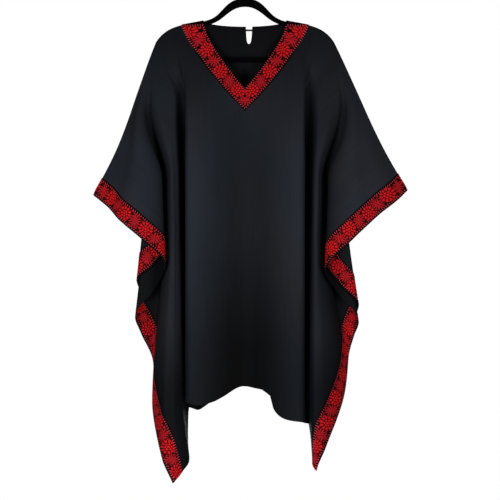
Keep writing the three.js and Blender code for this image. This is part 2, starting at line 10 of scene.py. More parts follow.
import bpy
import numpy as np
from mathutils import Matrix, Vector

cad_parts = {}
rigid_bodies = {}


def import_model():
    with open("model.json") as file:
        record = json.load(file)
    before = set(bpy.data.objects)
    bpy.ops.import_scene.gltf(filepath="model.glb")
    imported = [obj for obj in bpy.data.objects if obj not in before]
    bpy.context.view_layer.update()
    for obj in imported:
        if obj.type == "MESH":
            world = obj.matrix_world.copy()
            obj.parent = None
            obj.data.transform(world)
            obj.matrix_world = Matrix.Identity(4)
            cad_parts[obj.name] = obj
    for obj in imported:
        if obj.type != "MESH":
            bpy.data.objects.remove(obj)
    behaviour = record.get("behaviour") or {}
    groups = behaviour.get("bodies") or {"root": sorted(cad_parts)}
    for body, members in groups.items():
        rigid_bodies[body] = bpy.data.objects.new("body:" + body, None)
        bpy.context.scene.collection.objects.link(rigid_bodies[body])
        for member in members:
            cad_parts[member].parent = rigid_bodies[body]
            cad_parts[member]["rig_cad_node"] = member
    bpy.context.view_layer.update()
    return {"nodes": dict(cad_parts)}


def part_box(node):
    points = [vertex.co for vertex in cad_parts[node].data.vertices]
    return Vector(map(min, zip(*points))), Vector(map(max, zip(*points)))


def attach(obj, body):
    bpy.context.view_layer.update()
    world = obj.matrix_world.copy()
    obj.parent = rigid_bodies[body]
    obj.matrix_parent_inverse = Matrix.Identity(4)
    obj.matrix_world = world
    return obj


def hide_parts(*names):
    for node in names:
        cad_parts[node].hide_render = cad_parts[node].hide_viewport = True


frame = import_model()

bl_info = {
    "name": "Ribboned kaftan on a hanger",
    "version": (1, 0, 0),
    "blender": (4, 5, 0),
    "location": "3D View > Sidebar > Kaftan",
    "description": "Makes the cloth, ribbons, stitches, hanger and studio of a hanging kaftan",
    "category": "Object",
}

MM = 0.001

# ---------------------------------------------------------------- the cut and how it hangs

SEAM_GAP = 0.0003
FRONT_DEPTH = 0.034
BACK_DEPTH = 0.036

SHOULDER_X = 0.213
SHOULDER_Z = -0.165
NECK_X = 0.101
NECK_Z = -0.114
SHOULDER_PITCH = 0.2
SHOULDER_TIP_DROP = 0.0286
SEAM_ANGLE = 16
SLEEVE_REACH = 0.382

VEE_DEPTH = 0.163
VEE_POWER = 0.75
VEE_START_SLOPE = 3.75
VEE_TRIM_X = 0.152
VEE_TRIM_DEPTH = 0.219
VEE_TRIM_POWER = 0.7
BACK_NECK_X = 0.099
BACK_NECK_DIP = 0.014
KEYHOLE_X = 0.010
KEYHOLE_HALF_WIDTH = 0.008
KEYHOLE_DROP = 0.041

HANGER_CLEARANCE = 0.0042
FLAP_CLEARANCE = 0.0025
CUFF_CLEARANCE = 0.008
HANGER_BOTTOM_Z = -0.216
FOLD_RUN = 0.190
SHIFT_RUN = 0.150
TOE_START, TOE_END = 0.850, 1.050
TUCK_START, TUCK_END = 0.440, 0.860
OVERLAP_START, OVERLAP_END = 0.130, 0.330
INNER_LEAN = -6
SAG_END = 45

NARROW_RUN = SHIFT_RUN + 0.060
SWELL_START, SWELL_END = 0.008, 0.260
BACK_HALF_WIDTH = 0.156
BACK_WAVE_LENGTH = 0.071
BACK_WAVE_DEPTH = 0.006
BACK_WAVE_START, BACK_WAVE_END = 0.120, 0.420
CREASE_X = -0.008
CREASE_WIDTH = 0.016
CREASE_DEPTH = 0.004
CREASE_START, CREASE_END = 0.300, 0.520

RIBBON_WIDTH = 0.045
RIBBON_ROWS = np.array([0, 0.5, 1.4, 3, 6, 10, 15, 20, 25, 30, 35, 39, 42, 43.6, 44.5, 45]) * MM
STITCH_INSET = 0.0048
# Share of the painted light kept on the crepe's inner face: painted shade inside the garment.
INSIDE_SHADE = 0.45

ARCH_FOOT_Z = -0.128
FERRULE_Z = -0.0585
FERRULE_HEIGHT = 0.004
FERRULE_RADIUS = 0.0034
BUTTON_THICKNESS = 0.003
STRANDS = 3
STRAND_RADIUS = 0.0008
STRAND_OFFSET = 0.0006
LOOP_TWISTS = 14
LOOP_LIFT = 0.001

SENSOR_WIDTH = 36
VIEW_WIDTH = 1.2


def table(columns, rows, degrees=()):
    """Columns by name; a column that isn't in degrees is given in millimetres."""
    values = np.array(rows, float).T
    return {
        name: column * (1 if name in degrees else MM)
        for name, column in zip(columns, values)
    }


FOLD_ANGLES = ("flat", "back", "out", "fore")
FOLD_COLUMNS = ("flat", "back", "out", "shift", "fore", "step", "toe", "tuck")

# Each row is a ray from the shoulder tip: its angle below level in the cut of the front and of
# the back, its lean outwards and forwards, and how far it is set outwards and forwards.
LEFT_FOLDS = table(FOLD_COLUMNS, [
    (16, 16, 22.2, 0, 0, 0, 0, 0),
    (23.5, 23, 14.8, 0, 2.4, 0, 0, 0),
    (30.8, 29.5, 9.7, 0, 6, 0, 0, 0),
    (37.5, 34.8, 3.4, 0, 7, 0, 0, 0),
    (43.9, 40, -2.1, 0, 4.8, 0, 0, 0),
    (49.9, 44.5, 0.6, 0, 0.4, 0, 0, 0),
    (54.3, 48, 4.95, 0, -1, -3, 0, -8),
    (57, 51.5, 3.5, 0, -2.6, -7, 0, -8),
    (60.6, 57, 0.6, 0, -2.8, -8, 0, -20),
    (64.5, 62.5, 0.45, -3, 0.6, -3, 0, -26),
    (67.6, 67, -0.4, -14, 3.2, 0, 0, -20),
    (68.9, 68.7, -0.7, -28, 3.5, 0, -3, -9),
    (70.8, 70.7, -0.7, -39, 3, 0, -12, 0),
    (72.5, 72.5, -0.9, -45, 2.2, 0, -18, 0),
    (76, 76, -1.1, -46, 1.2, -10, -14, 0),
    (82, 82, -1.3, -49, 0.3, -26, -8, 0),
    (90, 90, -1.5, -52, 0, -33, 0, 0),
], FOLD_ANGLES)
RIGHT_FOLDS = table(FOLD_COLUMNS, [
    (16, 16, 26.3, 0, 0, 0, 0, 0),
    (20.7, 20.7, 21.9, 0, 1.8, 0, 0, 0),
    (27, 26.5, 14.4, 0, 4.2, 0, 0, 0),
    (37.5, 36.5, 4.8, 0, 6.8, 0, 0, 0),
    (45.6, 44.5, -1.9, 0, 4.6, 0, 0, 0),
    (50.5, 48.8, 1.1, 0, 0.4, 0, 0, 0),
    (55, 52.6, 5.9, 0, -0.9, -3, 0, -16),
    (57.4, 55.4, 4.5, 0, -2.4, -7, 0, -12),
    (60.6, 59, 2.8, 0, -2.8, -8, 0, -38),
    (64, 63, 1.2, -2, -0.2, -3, 0, -33),
    (67, 66.7, -0.6, -16, 2.5, 0, 0, -19),
    (68.1, 68, -1.2, -24, 3, 0, 2, -9),
    (70.5, 70.4, -0.9, -36, 2.7, 0, 3, -3),
    (72.5, 72.5, -0.8, -41, 2.1, 0, 6, 0),
    (76, 76, -0.8, -45, 1.2, -10, 12, 0),
    (82, 82, -0.8, -50, 0.3, -26, 24, 0),
    (90, 90, -0.8, -55, 0, -33, 42, 0),
], FOLD_ANGLES)

# Cross-section of the front between the two valleys: half width in the cut against place.
FRONT_SECTION = table(("cut", "x", "y"), [
    (0, 0, -38),
    (105, 105, -39),
    (130, 129, -37),
    (142, 139, -32),
    (158, 143, -17),
    (185, 147, 10),
    (213, 156, 30),
])

# Heights of the hems against the cut, from the left shoulder tip to the right one.
FRONT_HEM = table(("cut", "z"), [
    (-213, -1047), (-146, -1027), (-115, -1034), (-77, -1026), (-53, -1014), (-12, -990),
    (24, -993), (58, -1008), (68, -1043), (91, -1065), (134, -1074), (213, -1086),
])
BACK_HEM = table(("cut", "z"), [
    (-213, -1047), (-160, -1052), (0, -986), (160, -1062), (213, -1086),
])

SIDES = {
    "left": {
        "sign": -1, "folds": LEFT_FOLDS, "corner_drop": 0.982, "tip_hem": 0.882, "seam_sag": 2.6,
    },
    "right": {
        "sign": 1, "folds": RIGHT_FOLDS, "corner_drop": 0.952, "tip_hem": 0.921, "seam_sag": 1.8,
    },
}

FRONT, BACK, BOTH = 1, -1, 0

# Soft creases listed as lines in the cut: which face, the line's two ends, its half
# width, and how far it stands forward.
CREASES = table(("face", "x1", "z1", "x2", "z2", "width", "lift"), [
    (FRONT, -4, -322, -46, -420, 8, 2.4),
    (FRONT, -12, -318, -70, -372, 7, -2.1),
    (FRONT, 8, -320, 40, -405, 8, 2.2),
    (FRONT, 20, -316, 74, -366, 7, -1.8),
    (FRONT, -118, -168, -168, -470, 20, 4.8),
    (FRONT, -146, -182, -186, -520, 14, -3.6),
    (FRONT, 122, -172, 160, -480, 19, 4.5),
    (FRONT, 148, -190, 186, -500, 13, -3.3),
    (FRONT, -78, -380, -92, -985, 30, -4.8),
    (FRONT, -44, -470, -50, -1000, 20, 3.9),
    (FRONT, 52, -420, 66, -990, 26, -4.5),
    (FRONT, 92, -400, 104, -1010, 22, 4.2),
    (FRONT, 26, -640, 22, -985, 14, 2.7),
    (FRONT, -131, -760, -130, -1028, 7, 3.6),
    (BACK, -30, -180, -58, -700, 30, 4.0),
    (BACK, 46, -190, 84, -760, 34, 4.4),
    (BACK, 8, -175, 4, -420, 12, -2.4),
    (BACK, -120, -210, -150, -600, 22, -3.4),
    (BACK, 128, -220, 160, -640, 24, -3.0),
    (BACK, -16, -560, 12, -990, 18, 2.6),
    (BOTH, -250, -235, -372, -352, 18, 2.6),
    (BOTH, -262, -300, -452, -470, 22, -2.2),
    (BOTH, -300, -420, -480, -640, 16, 1.6),
    (BOTH, 252, -236, 392, -340, 17, 2.4),
    (BOTH, 264, -300, 470, -452, 22, -2.0),
    (BOTH, 310, -430, 500, -640, 16, 1.6),
    (BOTH, -330, -720, -352, -1090, 14, 1.6),
    (BOTH, 322, -700, 348, -1070, 14, 1.6),
    (BOTH, -240, -330, -262, -900, 12, 1.6),
    (BOTH, 238, -340, 258, -900, 12, 1.6),
])

# Painted light and shade on the crepe, as a factor on its colour: across the body at mid height
# and near the hem, and round a hanging side by the angle of its rays. It paints the valleys dark.
BODY_PAINTED_LIGHT = table(("cut", "middle", "low"), [
    (0, 660, 90), (45, 690, 130), (85, 980, 430), (112, 1300, 720), (135, 1400, 760),
    (150, 1100, 600), (166, 420, 300), (190, 180, 140), (213, 150, 120),
])
SIDE_PAINTED_LIGHT = table(("flat", "painted_light"), [
    (16, 1000), (27, 1250), (37, 1250), (41, 950), (45, 500), (50, 420), (54, 720), (57, 560),
    (60.6, 300), (64, 460), (67, 950), (70.5, 1050), (72.5, 850), (76, 380), (82, 180), (90, 150),
], ("flat",))


def ramp(value, start, end):
    t = np.clip((value - start) / (end - start), 0, 1)
    return t * t * (3 - 2 * t)


def mix(a, b, t):
    return a + (b - a) * t


def read_table(rows, key, out, value):
    """Smooth curve through a table: column `out` at `value` of column `key`."""
    keys, values = rows[key], rows[out]
    last = len(keys) - 1
    v = np.clip(value, keys[0], keys[-1])
    i = np.searchsorted(keys[1:-1], v, side="left")
    lower, upper = np.maximum(np.arange(last + 1) - 1, 0), np.minimum(np.arange(last + 1) + 1, last)
    slopes = (values[upper] - values[lower]) / (keys[upper] - keys[lower])
    span = keys[i + 1] - keys[i]
    t = (v - keys[i]) / span
    start_weight = 2 * t**3 - 3 * t**2 + 1
    return (
        start_weight * values[i]
        + (t**3 - 2 * t**2 + t) * span * slopes[i]
        + (1 - start_weight) * values[i + 1]
        + (t**3 - t**2) * span * slopes[i + 1]
    )


def shoulder_height(cut):
    """Height of the shoulder seam, which runs along the top of the hanger."""
    run = np.abs(cut) - NECK_X
    drop = SHOULDER_TIP_DROP * (np.maximum(run, 0) / (SHOULDER_X - NECK_X)) ** 5
    return NECK_Z - SHOULDER_PITCH * run - drop


def fold_opening(cut, down):
    """How far the folds have opened at a distance below the seam."""
    start = shoulder_height(np.minimum(np.abs(cut), SHOULDER_X)) - HANGER_BOTTOM_Z
    return ramp(down, start, start + FOLD_RUN)


def half_gap(flat, distance):
    """Half of the gap between front and back, which closes in a round edge at the seam."""
    from_seam = distance * np.sin(np.radians(flat - SEAM_ANGLE))
    inside = np.clip(1 - from_seam / HANGER_CLEARANCE, 0, 1)
    cuff = ramp(flat, 17, 24) * (1 - ramp(flat, 32, 39)) * ramp(distance, 0.200, 0.360)
    opened = mix(FLAP_CLEARANCE, CUFF_CLEARANCE, cuff)
    radius = mix(HANGER_CLEARANCE, opened, fold_opening(SHOULDER_X, distance))
    return SEAM_GAP / 2 + radius * np.sqrt(1 - inside * inside)


def side_point(side, flat, distance):
    """Middle surface between the front and back of a hanging side."""
    folds = side["folds"]

    def fold(column):
        return read_table(folds, "flat", column, flat)

    opening = fold_opening(SHOULDER_X, distance)
    overlap = ramp(distance, OVERLAP_START, OVERLAP_END)
    flat_out = mix(folds["out"][0], INNER_LEAN, (flat - SEAM_ANGLE) / (90 - SEAM_ANGLE))
    sag = side["seam_sag"] * np.sin(np.pi * np.clip(distance / SLEEVE_REACH, 0, 1))
    sag = sag * (1 - ramp(flat, SEAM_ANGLE, SAG_END))
    out = np.radians(mix(flat_out, fold("out"), overlap) - sag)
    fore = np.radians(fold("fore") * opening)
    toe = fold("toe") * ramp(distance, TOE_START, TOE_END)
    tuck = fold("tuck") * overlap * (1 - ramp(distance, TUCK_START, TUCK_END))
    x = distance * np.sin(out) + fold("shift") * ramp(distance, 0, SHIFT_RUN) + toe + tuck
    y = -distance * np.sin(fore) - fold("step") * opening
    fall = np.sqrt(np.maximum(distance**2 - x**2 - y**2, (0.6 * distance) ** 2))
    return np.stack([side["sign"] * (SHOULDER_X + x), y, SHOULDER_Z - fall], -1)


def flap_point(side, face, flat, distance):
    """Point of the front (1) or back (-1) of a hanging side."""
    reach = np.maximum(distance, 0.006)
    across = side_point(side, np.minimum(flat + 0.25, 90), reach)
    across = across - side_point(side, np.maximum(flat - 0.25, SEAM_ANGLE), reach)
    down = side_point(side, flat, reach + 0.002) - side_point(side, flat, reach - 0.002)
    normal = np.cross(across, down) * side["sign"]
    normal /= np.linalg.norm(normal, axis=-1, keepdims=True)
    gap = half_gap(flat, distance)[..., None]
    return side_point(side, flat, distance) + normal * face * gap


def round_shoulder(down):
    inside = np.clip(1 - down / HANGER_CLEARANCE, 0, 1)
    return SEAM_GAP / 2 + HANGER_CLEARANCE * np.sqrt(1 - inside * inside)


def front_plain(cut, down):
    distance = np.abs(cut)
    section_x = read_table(FRONT_SECTION, "cut", "x", distance)
    section_y = read_table(FRONT_SECTION, "cut", "y", distance)
    x = mix(distance, section_x, ramp(down, 0, NARROW_RUN))
    swell = (FRONT_DEPTH - HANGER_CLEARANCE) * ramp(down, SWELL_START, SWELL_END)
    crease = CREASE_DEPTH * np.exp(-(((cut - CREASE_X) / CREASE_WIDTH) ** 2))
    y = mix(-round_shoulder(down) - swell, section_y, fold_opening(cut, down))
    y = y + crease * ramp(down, CREASE_START, CREASE_END)
    return np.stack([np.sign(cut) * x, y, shoulder_height(cut) - down], -1)


def back_plain(cut, down):
    distance = np.abs(cut)
    narrowing = mix(1, BACK_HALF_WIDTH / SHOULDER_X, ramp(down, 0, NARROW_RUN))
    swell = (BACK_DEPTH - HANGER_CLEARANCE) * ramp(down, SWELL_START, SWELL_END)
    phase = 2 * np.pi * (SHOULDER_X - distance) / BACK_WAVE_LENGTH
    wave = BACK_WAVE_DEPTH * (1 - np.cos(phase)) * ramp(down, BACK_WAVE_START, BACK_WAVE_END)
    y = round_shoulder(down) + swell + wave
    return np.stack([cut * narrowing, y, shoulder_height(cut) - down], -1)


def body_point(face, cut, down):
    """Point of the front or back between the shoulder tips."""
    cut, down = np.broadcast_arrays(np.asarray(cut, float), np.asarray(down, float))
    plain = front_plain if face == FRONT else back_plain
    point = plain(cut, down)
    share = ramp(np.abs(cut), 0.150 if face == FRONT else 0.120, SHOULDER_X)[..., None]
    for side in SIDES.values():
        tip = np.full(cut.shape, side["sign"] * SHOULDER_X)
        end = flap_point(side, face, np.full(cut.shape, 90.0), down) - plain(tip, down)
        point = point + np.where((cut * side["sign"] > 0)[..., None], end * share, 0)
    return point


def lift_of(face, cut_x, cut_z):
    """How far the creases lift the cloth forwards at a place of the cut."""
    lift = np.zeros(np.broadcast(cut_x, cut_z).shape)
    for i, crease_face in enumerate(np.rint(CREASES["face"] / MM)):
        if crease_face not in (BOTH, face):
            continue
        x1, z1, x2, z2 = (CREASES[name][i] for name in ("x1", "z1", "x2", "z2"))
        length = math.hypot(x2 - x1, z2 - z1)
        along = ((cut_x - x1) * (x2 - x1) + (cut_z - z1) * (z2 - z1)) / length
        across = ((cut_x - x1) * (z2 - z1) - (cut_z - z1) * (x2 - x1)) / length
        across = across + 0.1 * CREASES["width"][i] * np.sin(along * 23 + i)
        t = np.clip(along / length, 0, 1)
        fade = np.sin(np.pi * t) ** 0.8 * (0.8 + 0.2 * np.sin(9 * t + 2 * i))
        sideways = across / (CREASES["width"][i] * (0.75 + 0.5 * t))
        shape = np.exp(-(sideways**2)) * (1 - 0.35 * sideways)
        lift += CREASES["lift"][i] * fade * shape
    return lift


def painted_light_by_depth(row, depth, low_share):
    """Painted light of the tables at a depth below the shoulder tips, where the folds open out,
    with painted shade near the shoulder tips and low down.
    """
    opened = mix(0.85, row, ramp(depth, 0.120, 0.340))
    near_shoulder = mix(0.45, 1, ramp(depth, -0.040, 0.150))
    return opened * near_shoulder * mix(1, low_share, ramp(depth, 0.640, 0.860))


def body_painted_light(face, cut, cut_z):
    """Painted light and shade on the crepe between the shoulder tips, 1 where it is plain."""
    depth = SHOULDER_Z - cut_z
    middle = read_table(BODY_PAINTED_LIGHT, "cut", "middle", abs(cut))
    low = read_table(BODY_PAINTED_LIGHT, "cut", "low", abs(cut))
    painted_light = mix(middle, low, ramp(depth, 0.400, 0.760))
    return painted_light_by_depth(painted_light if face == FRONT else mix(0.8, painted_light, 0.25), depth, 0.75)


def side_painted_light(flat, distance):
    """Painted light and shade on the crepe of a hanging side."""
    return painted_light_by_depth(read_table(SIDE_PAINTED_LIGHT, "flat", "painted_light", flat), distance, 0.3)


def body_surface(face, cut, down):
    point = body_point(face, cut, down)
    point[..., 1] -= lift_of(face, cut, shoulder_height(cut) - down)
    return point


def side_surface(side, face, flat, cut_angle, distance):
    """Point of a hanging side, its front and back lifted together by the creases."""
    flat, distance = np.broadcast_arrays(np.asarray(flat, float), np.asarray(distance, float))
    point = flap_point(side, face, flat, distance)
    cut_x = side["sign"] * (SHOULDER_X + distance * np.cos(np.radians(cut_angle)))
    cut_z = SHOULDER_Z - distance * np.sin(np.radians(cut_angle))
    point[..., 1] -= lift_of(face, cut_x, cut_z)
    return point


def hem_slope(side):
    return (side["corner_drop"] - side["tip_hem"]) / SLEEVE_REACH


def edge_distance(side, angle):
    """Distance from the shoulder tip to the cut edge along a ray: the side edge, then the hem."""
    turn = np.radians(angle)
    hem = side["tip_hem"] / (np.sin(turn) - hem_slope(side) * np.cos(turn))
    return np.minimum(hem, SLEEVE_REACH / np.maximum(np.cos(turn), 1e-6))


def vee_top(cut):
    distance = np.abs(cut)
    fraction = np.clip(1 - distance / NECK_X, 0, 1)
    start = VEE_START_SLOPE * np.maximum(NECK_X - distance, 0)
    line = np.minimum(start, VEE_DEPTH * fraction**VEE_POWER)
    return shoulder_height(cut) - NECK_Z + line


def vee_trim_edge(cut):
    fraction = np.clip(1 - np.abs(cut) / VEE_TRIM_X, 0, 1)
    return shoulder_height(cut) - NECK_Z + VEE_TRIM_DEPTH * fraction**VEE_TRIM_POWER


def back_neck(cut):
    fraction = np.clip(1 - (cut / BACK_NECK_X) ** 2, 0, 1)
    across = np.clip(np.abs(cut - KEYHOLE_X) / KEYHOLE_HALF_WIDTH, 0, 1)
    return NECK_Z - BACK_NECK_DIP * np.sqrt(fraction) - KEYHOLE_DROP * np.sqrt(1 - across**3)


# ---------------------------------------------------------------- meshes

SEAM_ROWS = np.array([0, 0.4, 1.5, 3, 4.5, 7.5, 12]) * MM
FALL_ROWS = 74
RIBBON_COLUMNS = 176
HEM_ROWS = np.array([5, 10, 15, 20, 24, 26.4, 28, 30, 34, 37, 38.6, 39.5, 40]) / 40
HEM_TURN = 0.014


def column_distances(top, first, inner, edge):
    """Distances of one column's rows: the seam, the fall to the hem, and the turned hem."""
    fall = mix(first, inner, (np.arange(FALL_ROWS) / (FALL_ROWS - 1)) ** 1.08)
    return np.concatenate([top, fall, mix(inner, edge, HEM_ROWS)])


def flap_columns(side, face):
    """Columns of a hanging side from its sleeve seam to the valley beside the body."""
    angle_name = "flat" if face == FRONT else "back"
    folds = side["folds"]
    corner_cut = math.degrees(math.atan2(side["corner_drop"], SLEEVE_REACH))
    corner = float(read_table(folds, angle_name, "flat", np.array(corner_cut)))
    start, end = math.tan(math.radians(SEAM_ANGLE)), math.tan(math.radians(corner))
    near_seam = np.array([16, 16.15, 16.5, 17.1])
    sleeve = np.degrees(np.arctan(np.linspace(start, end, 152)))
    flats = np.concatenate([near_seam, sleeve[sleeve > 17.5], np.linspace(corner, 90, 40)[1:]])
    columns = []
    for flat in flats:
        cut = corner_cut if flat == corner else float(
            read_table(folds, "flat", angle_name, np.array(flat))
        )
        edge = float(edge_distance(side, cut))
        inner = (SLEEVE_REACH - RIBBON_WIDTH) / max(math.cos(math.radians(cut)), 1e-6)
        inner = min(inner, edge - mix(0.004, 0.040, float(ramp(cut, 71, 77))))
        rows = column_distances(SEAM_ROWS, 0.020, inner, edge)
        points = side_surface(side, face, flat, cut, rows)
        cut_x = side["sign"] * (SHOULDER_X + rows * math.cos(math.radians(cut)))
        cut_z = SHOULDER_Z - rows * math.sin(math.radians(cut))
        above_hem = side["tip_hem"] + hem_slope(side) * (np.abs(cut_x) - SHOULDER_X)
        hem = above_hem + cut_z - SHOULDER_Z
        # With each column goes the painted light and shade of its rows.
        columns.append((points, cut_x, cut_z, hem, side_painted_light(flat, rows)))
    return columns


def body_column(face, cut):
    """One column between the shoulder tips, from the seam or the neck down to the hem."""
    distance = abs(cut)
    hem = FRONT_HEM if face == FRONT else BACK_HEM
    top = 0.0
    if face == FRONT:
        below_seam = mix(0.018, 0.030, float(ramp(distance, VEE_TRIM_X, SHOULDER_X)))
        first = max(float(vee_trim_edge(cut)), below_seam)
        neck_x = NECK_X
        if distance < neck_x:
            top = float(vee_top(cut))
    else:
        first = mix(0.070, 0.030, float(ramp(distance, BACK_NECK_X, SHOULDER_X)))
        neck_x = BACK_NECK_X
        if distance < neck_x:
            top = float(shoulder_height(cut) - back_neck(cut))
            first = 0.110
    edge = float(shoulder_height(cut) - read_table(hem, "cut", "z", np.array(cut)))
    inwards = float(ramp(neck_x - distance, 0, 0.045))
    spread = np.arange(len(SEAM_ROWS)) / len(SEAM_ROWS)
    rows = top + mix(SEAM_ROWS, (first - top) * spread, inwards)
    rows = column_distances(rows, first, edge - 0.040, edge)
    points = body_surface(face, np.full(rows.shape, cut), rows)
    cut_z = shoulder_height(cut) - rows
    # The last value is the painted light and shade down the column.
    return points, np.full(rows.shape, cut), cut_z, edge - rows, body_painted_light(face, cut, cut_z)


def body_cuts(face):
    """Places of a panel's columns between the shoulder tips, closest where an edge turns."""
    outer = np.linspace(0.207, 0.104, 24)
    if face == FRONT:
        corner = [0.101, 0.1006, 0.0998, 0.0986, 0.0974, 0.0945]
        inner = np.linspace(0.091, 0.004, 23)
        middle = [0.0]
    else:
        corner = [0.101, 0.099, 0.0987, 0.0976, 0.0965, 0.093]
        inner = np.linspace(0.088, 0.024, 16)
        slit = np.array([8.4, 8, 7.7, 7, 6, 4.5, 2.4]) * MM
        middle = [-0.012, -0.004, *(KEYHOLE_X - slit), KEYHOLE_X, *(KEYHOLE_X + slit[::-1])]
    side = np.concatenate([outer, corner, inner])
    return np.array([*-side, *middle, *[s for s in side[::-1] if s > max(middle) + 0.001]])


def grid_normals(points, turn):
    """Outward normals of a grid of points, from the steps to the neighbours."""
    across = np.gradient(points, axis=0)
    down = np.gradient(points, axis=1)
    normals = np.cross(across, down) * turn
    length = np.linalg.norm(normals, axis=-1, keepdims=True)
    return normals / np.maximum(length, 1e-12)


def wall_mesh(name, points, normals, inner, outer, turn, uv, owner=None, extra=()):
    """A closed wall on a grid of points, from `inner` to `outer` along the normals."""
    columns, rows = points.shape[:2]
    count = columns * rows
    if owner is None:
        owner = np.arange(count).reshape(columns, rows)
    inner, outer = np.broadcast_to(inner, (columns, rows)), np.broadcast_to(outer, (columns, rows))
    places = np.concatenate([
        (points + normals * inner[..., None]).reshape(-1, 3),
        (points + normals * outer[..., None]).reshape(-1, 3),
    ])
    faces = []

    def quad(a, b, c, d):
        corners = [a, b, c, d] if turn > 0 else [d, c, b, a]
        corners = [v for i, v in enumerate(corners) if v != corners[i - 1]]
        if len(set(corners)) > 2:
            faces.append(corners)

    low = owner.tolist()
    for c in range(columns - 1):
        here, there = low[c], low[c + 1]
        for r in range(rows - 1):
            a, b, d, e = here[r], there[r], there[r + 1], here[r + 1]
            quad(a + count, b + count, d + count, e + count)
            quad(a, e, d, b)
        for r, turned in ((0, False), (rows - 1, True)):
            a, b = (there[r], here[r]) if turned else (here[r], there[r])
            quad(a, b, b + count, a + count)
    for r in range(rows - 1):
        first, last = low[0], low[-1]
        quad(first[r + 1], first[r], first[r] + count, first[r + 1] + count)
        quad(last[r], last[r + 1], last[r + 1] + count, last[r] + count)
    used = sorted({v for corners in faces for v in corners})
    renumber = {v: i for i, v in enumerate(used)}
    mesh = bpy.data.meshes.new(name)
    mesh.from_pydata(places[used].tolist(), [], [[renumber[v] for v in f] for f in faces])
    vertex_uv = np.tile(uv.reshape(-1, 2), (2, 1))[used]
    loops = np.zeros(len(mesh.loops), np.int32)
    mesh.loops.foreach_get("vertex_index", loops)
    mesh.uv_layers.new(name="cut").data.foreach_set("uv", vertex_uv[loops].ravel())
    for key, values in dict(extra).items():
        layer = mesh.attributes.new(key, "FLOAT", "POINT")
        both = np.broadcast_to(values, (2, columns, rows)).reshape(-1)
        layer.data.foreach_set("value", both[used].astype(np.float32))
    mesh.update()
    piece = new_object(name, mesh)
    smooth(piece, 40)
    return piece


def new_object(name, data):
    piece = bpy.data.objects.new(name, data)
    bpy.context.scene.collection.objects.link(piece)
    return piece


def only(piece):
    """Selects one object alone."""
    if bpy.context.object and bpy.context.object.mode != "OBJECT":
        bpy.ops.object.mode_set(mode="OBJECT")
    bpy.ops.object.select_all(action="DESELECT")
    piece.select_set(True)
    bpy.context.view_layer.objects.active = piece


def smooth(piece, degrees):
    """Shades a piece smooth where its faces meet at less than an angle."""
    only(piece)
    bpy.ops.object.shade_smooth_by_angle(angle=math.radians(degrees))


def settle(piece):
    """Puts an object's place into its mesh, so that the object sits at the origin."""
    only(piece)
    bpy.ops.object.transform_apply(location=True, rotation=True, scale=True)


def modify(piece, kind, **settings):
    """Adds a modifier and applies it."""
    only(piece)
    modifier = piece.modifiers.new(kind.title(), kind)
    for key, value in settings.items():
        setattr(modifier, key, value)
    bpy.ops.object.modifier_apply(modifier=modifier.name)


def bevel(piece, width, degrees=30):
    """Rounds an object's edges where its faces meet at more than an angle."""
    limit = {"limit_method": "ANGLE", "angle_limit": math.radians(degrees)}
    modify(piece, "BEVEL", width=width, segments=3, **limit)


def edit_all(piece):
    """Opens an object in edit mode with all of it selected."""
    only(piece)
    bpy.ops.object.mode_set(mode="EDIT")
    bpy.ops.mesh.select_all(action="SELECT")


def joined(pieces, name):
    """Several objects joined into the first one."""
    only(pieces[0])
    for piece in pieces:
        piece.select_set(True)
    bpy.ops.object.join()
    pieces[0].name = name
    return pieces[0]


def new_curve(kind):
    curve = bpy.data.curves.new("wire", "CURVE")
    curve.dimensions = "3D"
    return curve, curve.splines.new(kind)


def as_mesh(name, curve, radius, roundness):
    """A round wire along a curve, as a mesh."""
    curve.bevel_depth = radius
    curve.bevel_resolution = roundness
    only(new_object(name, curve))
    bpy.ops.object.convert(target="MESH")
    return bpy.context.object


def dress(piece, material):
    """Gives a piece its material and the body it rides on."""
    piece.data.materials.clear()
    piece.data.materials.append(material)
    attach(piece, "root")


def copies(name, template, places, lengthwise, sideways, normals):
    """One mesh of a template copied to each place, turned to its directions."""
    source = np.array([v.co for v in template.data.vertices])
    axes = np.stack([lengthwise, sideways, normals], 1)
    spots = np.einsum("vk,nkd->nvd", source, axes) + places[:, None, :]
    polygons = [list(p.vertices) for p in template.data.polygons]
    faces = [[v + n * len(source) for v in p] for n in range(len(places)) for p in polygons]
    mesh = bpy.data.meshes.new(name)
    mesh.from_pydata(spots.reshape(-1, 3).tolist(), [], faces)
    mesh.update()
    piece = new_object(name, mesh)
    smooth(piece, 60)
    return piece


# ---------------------------------------------------------------- materials


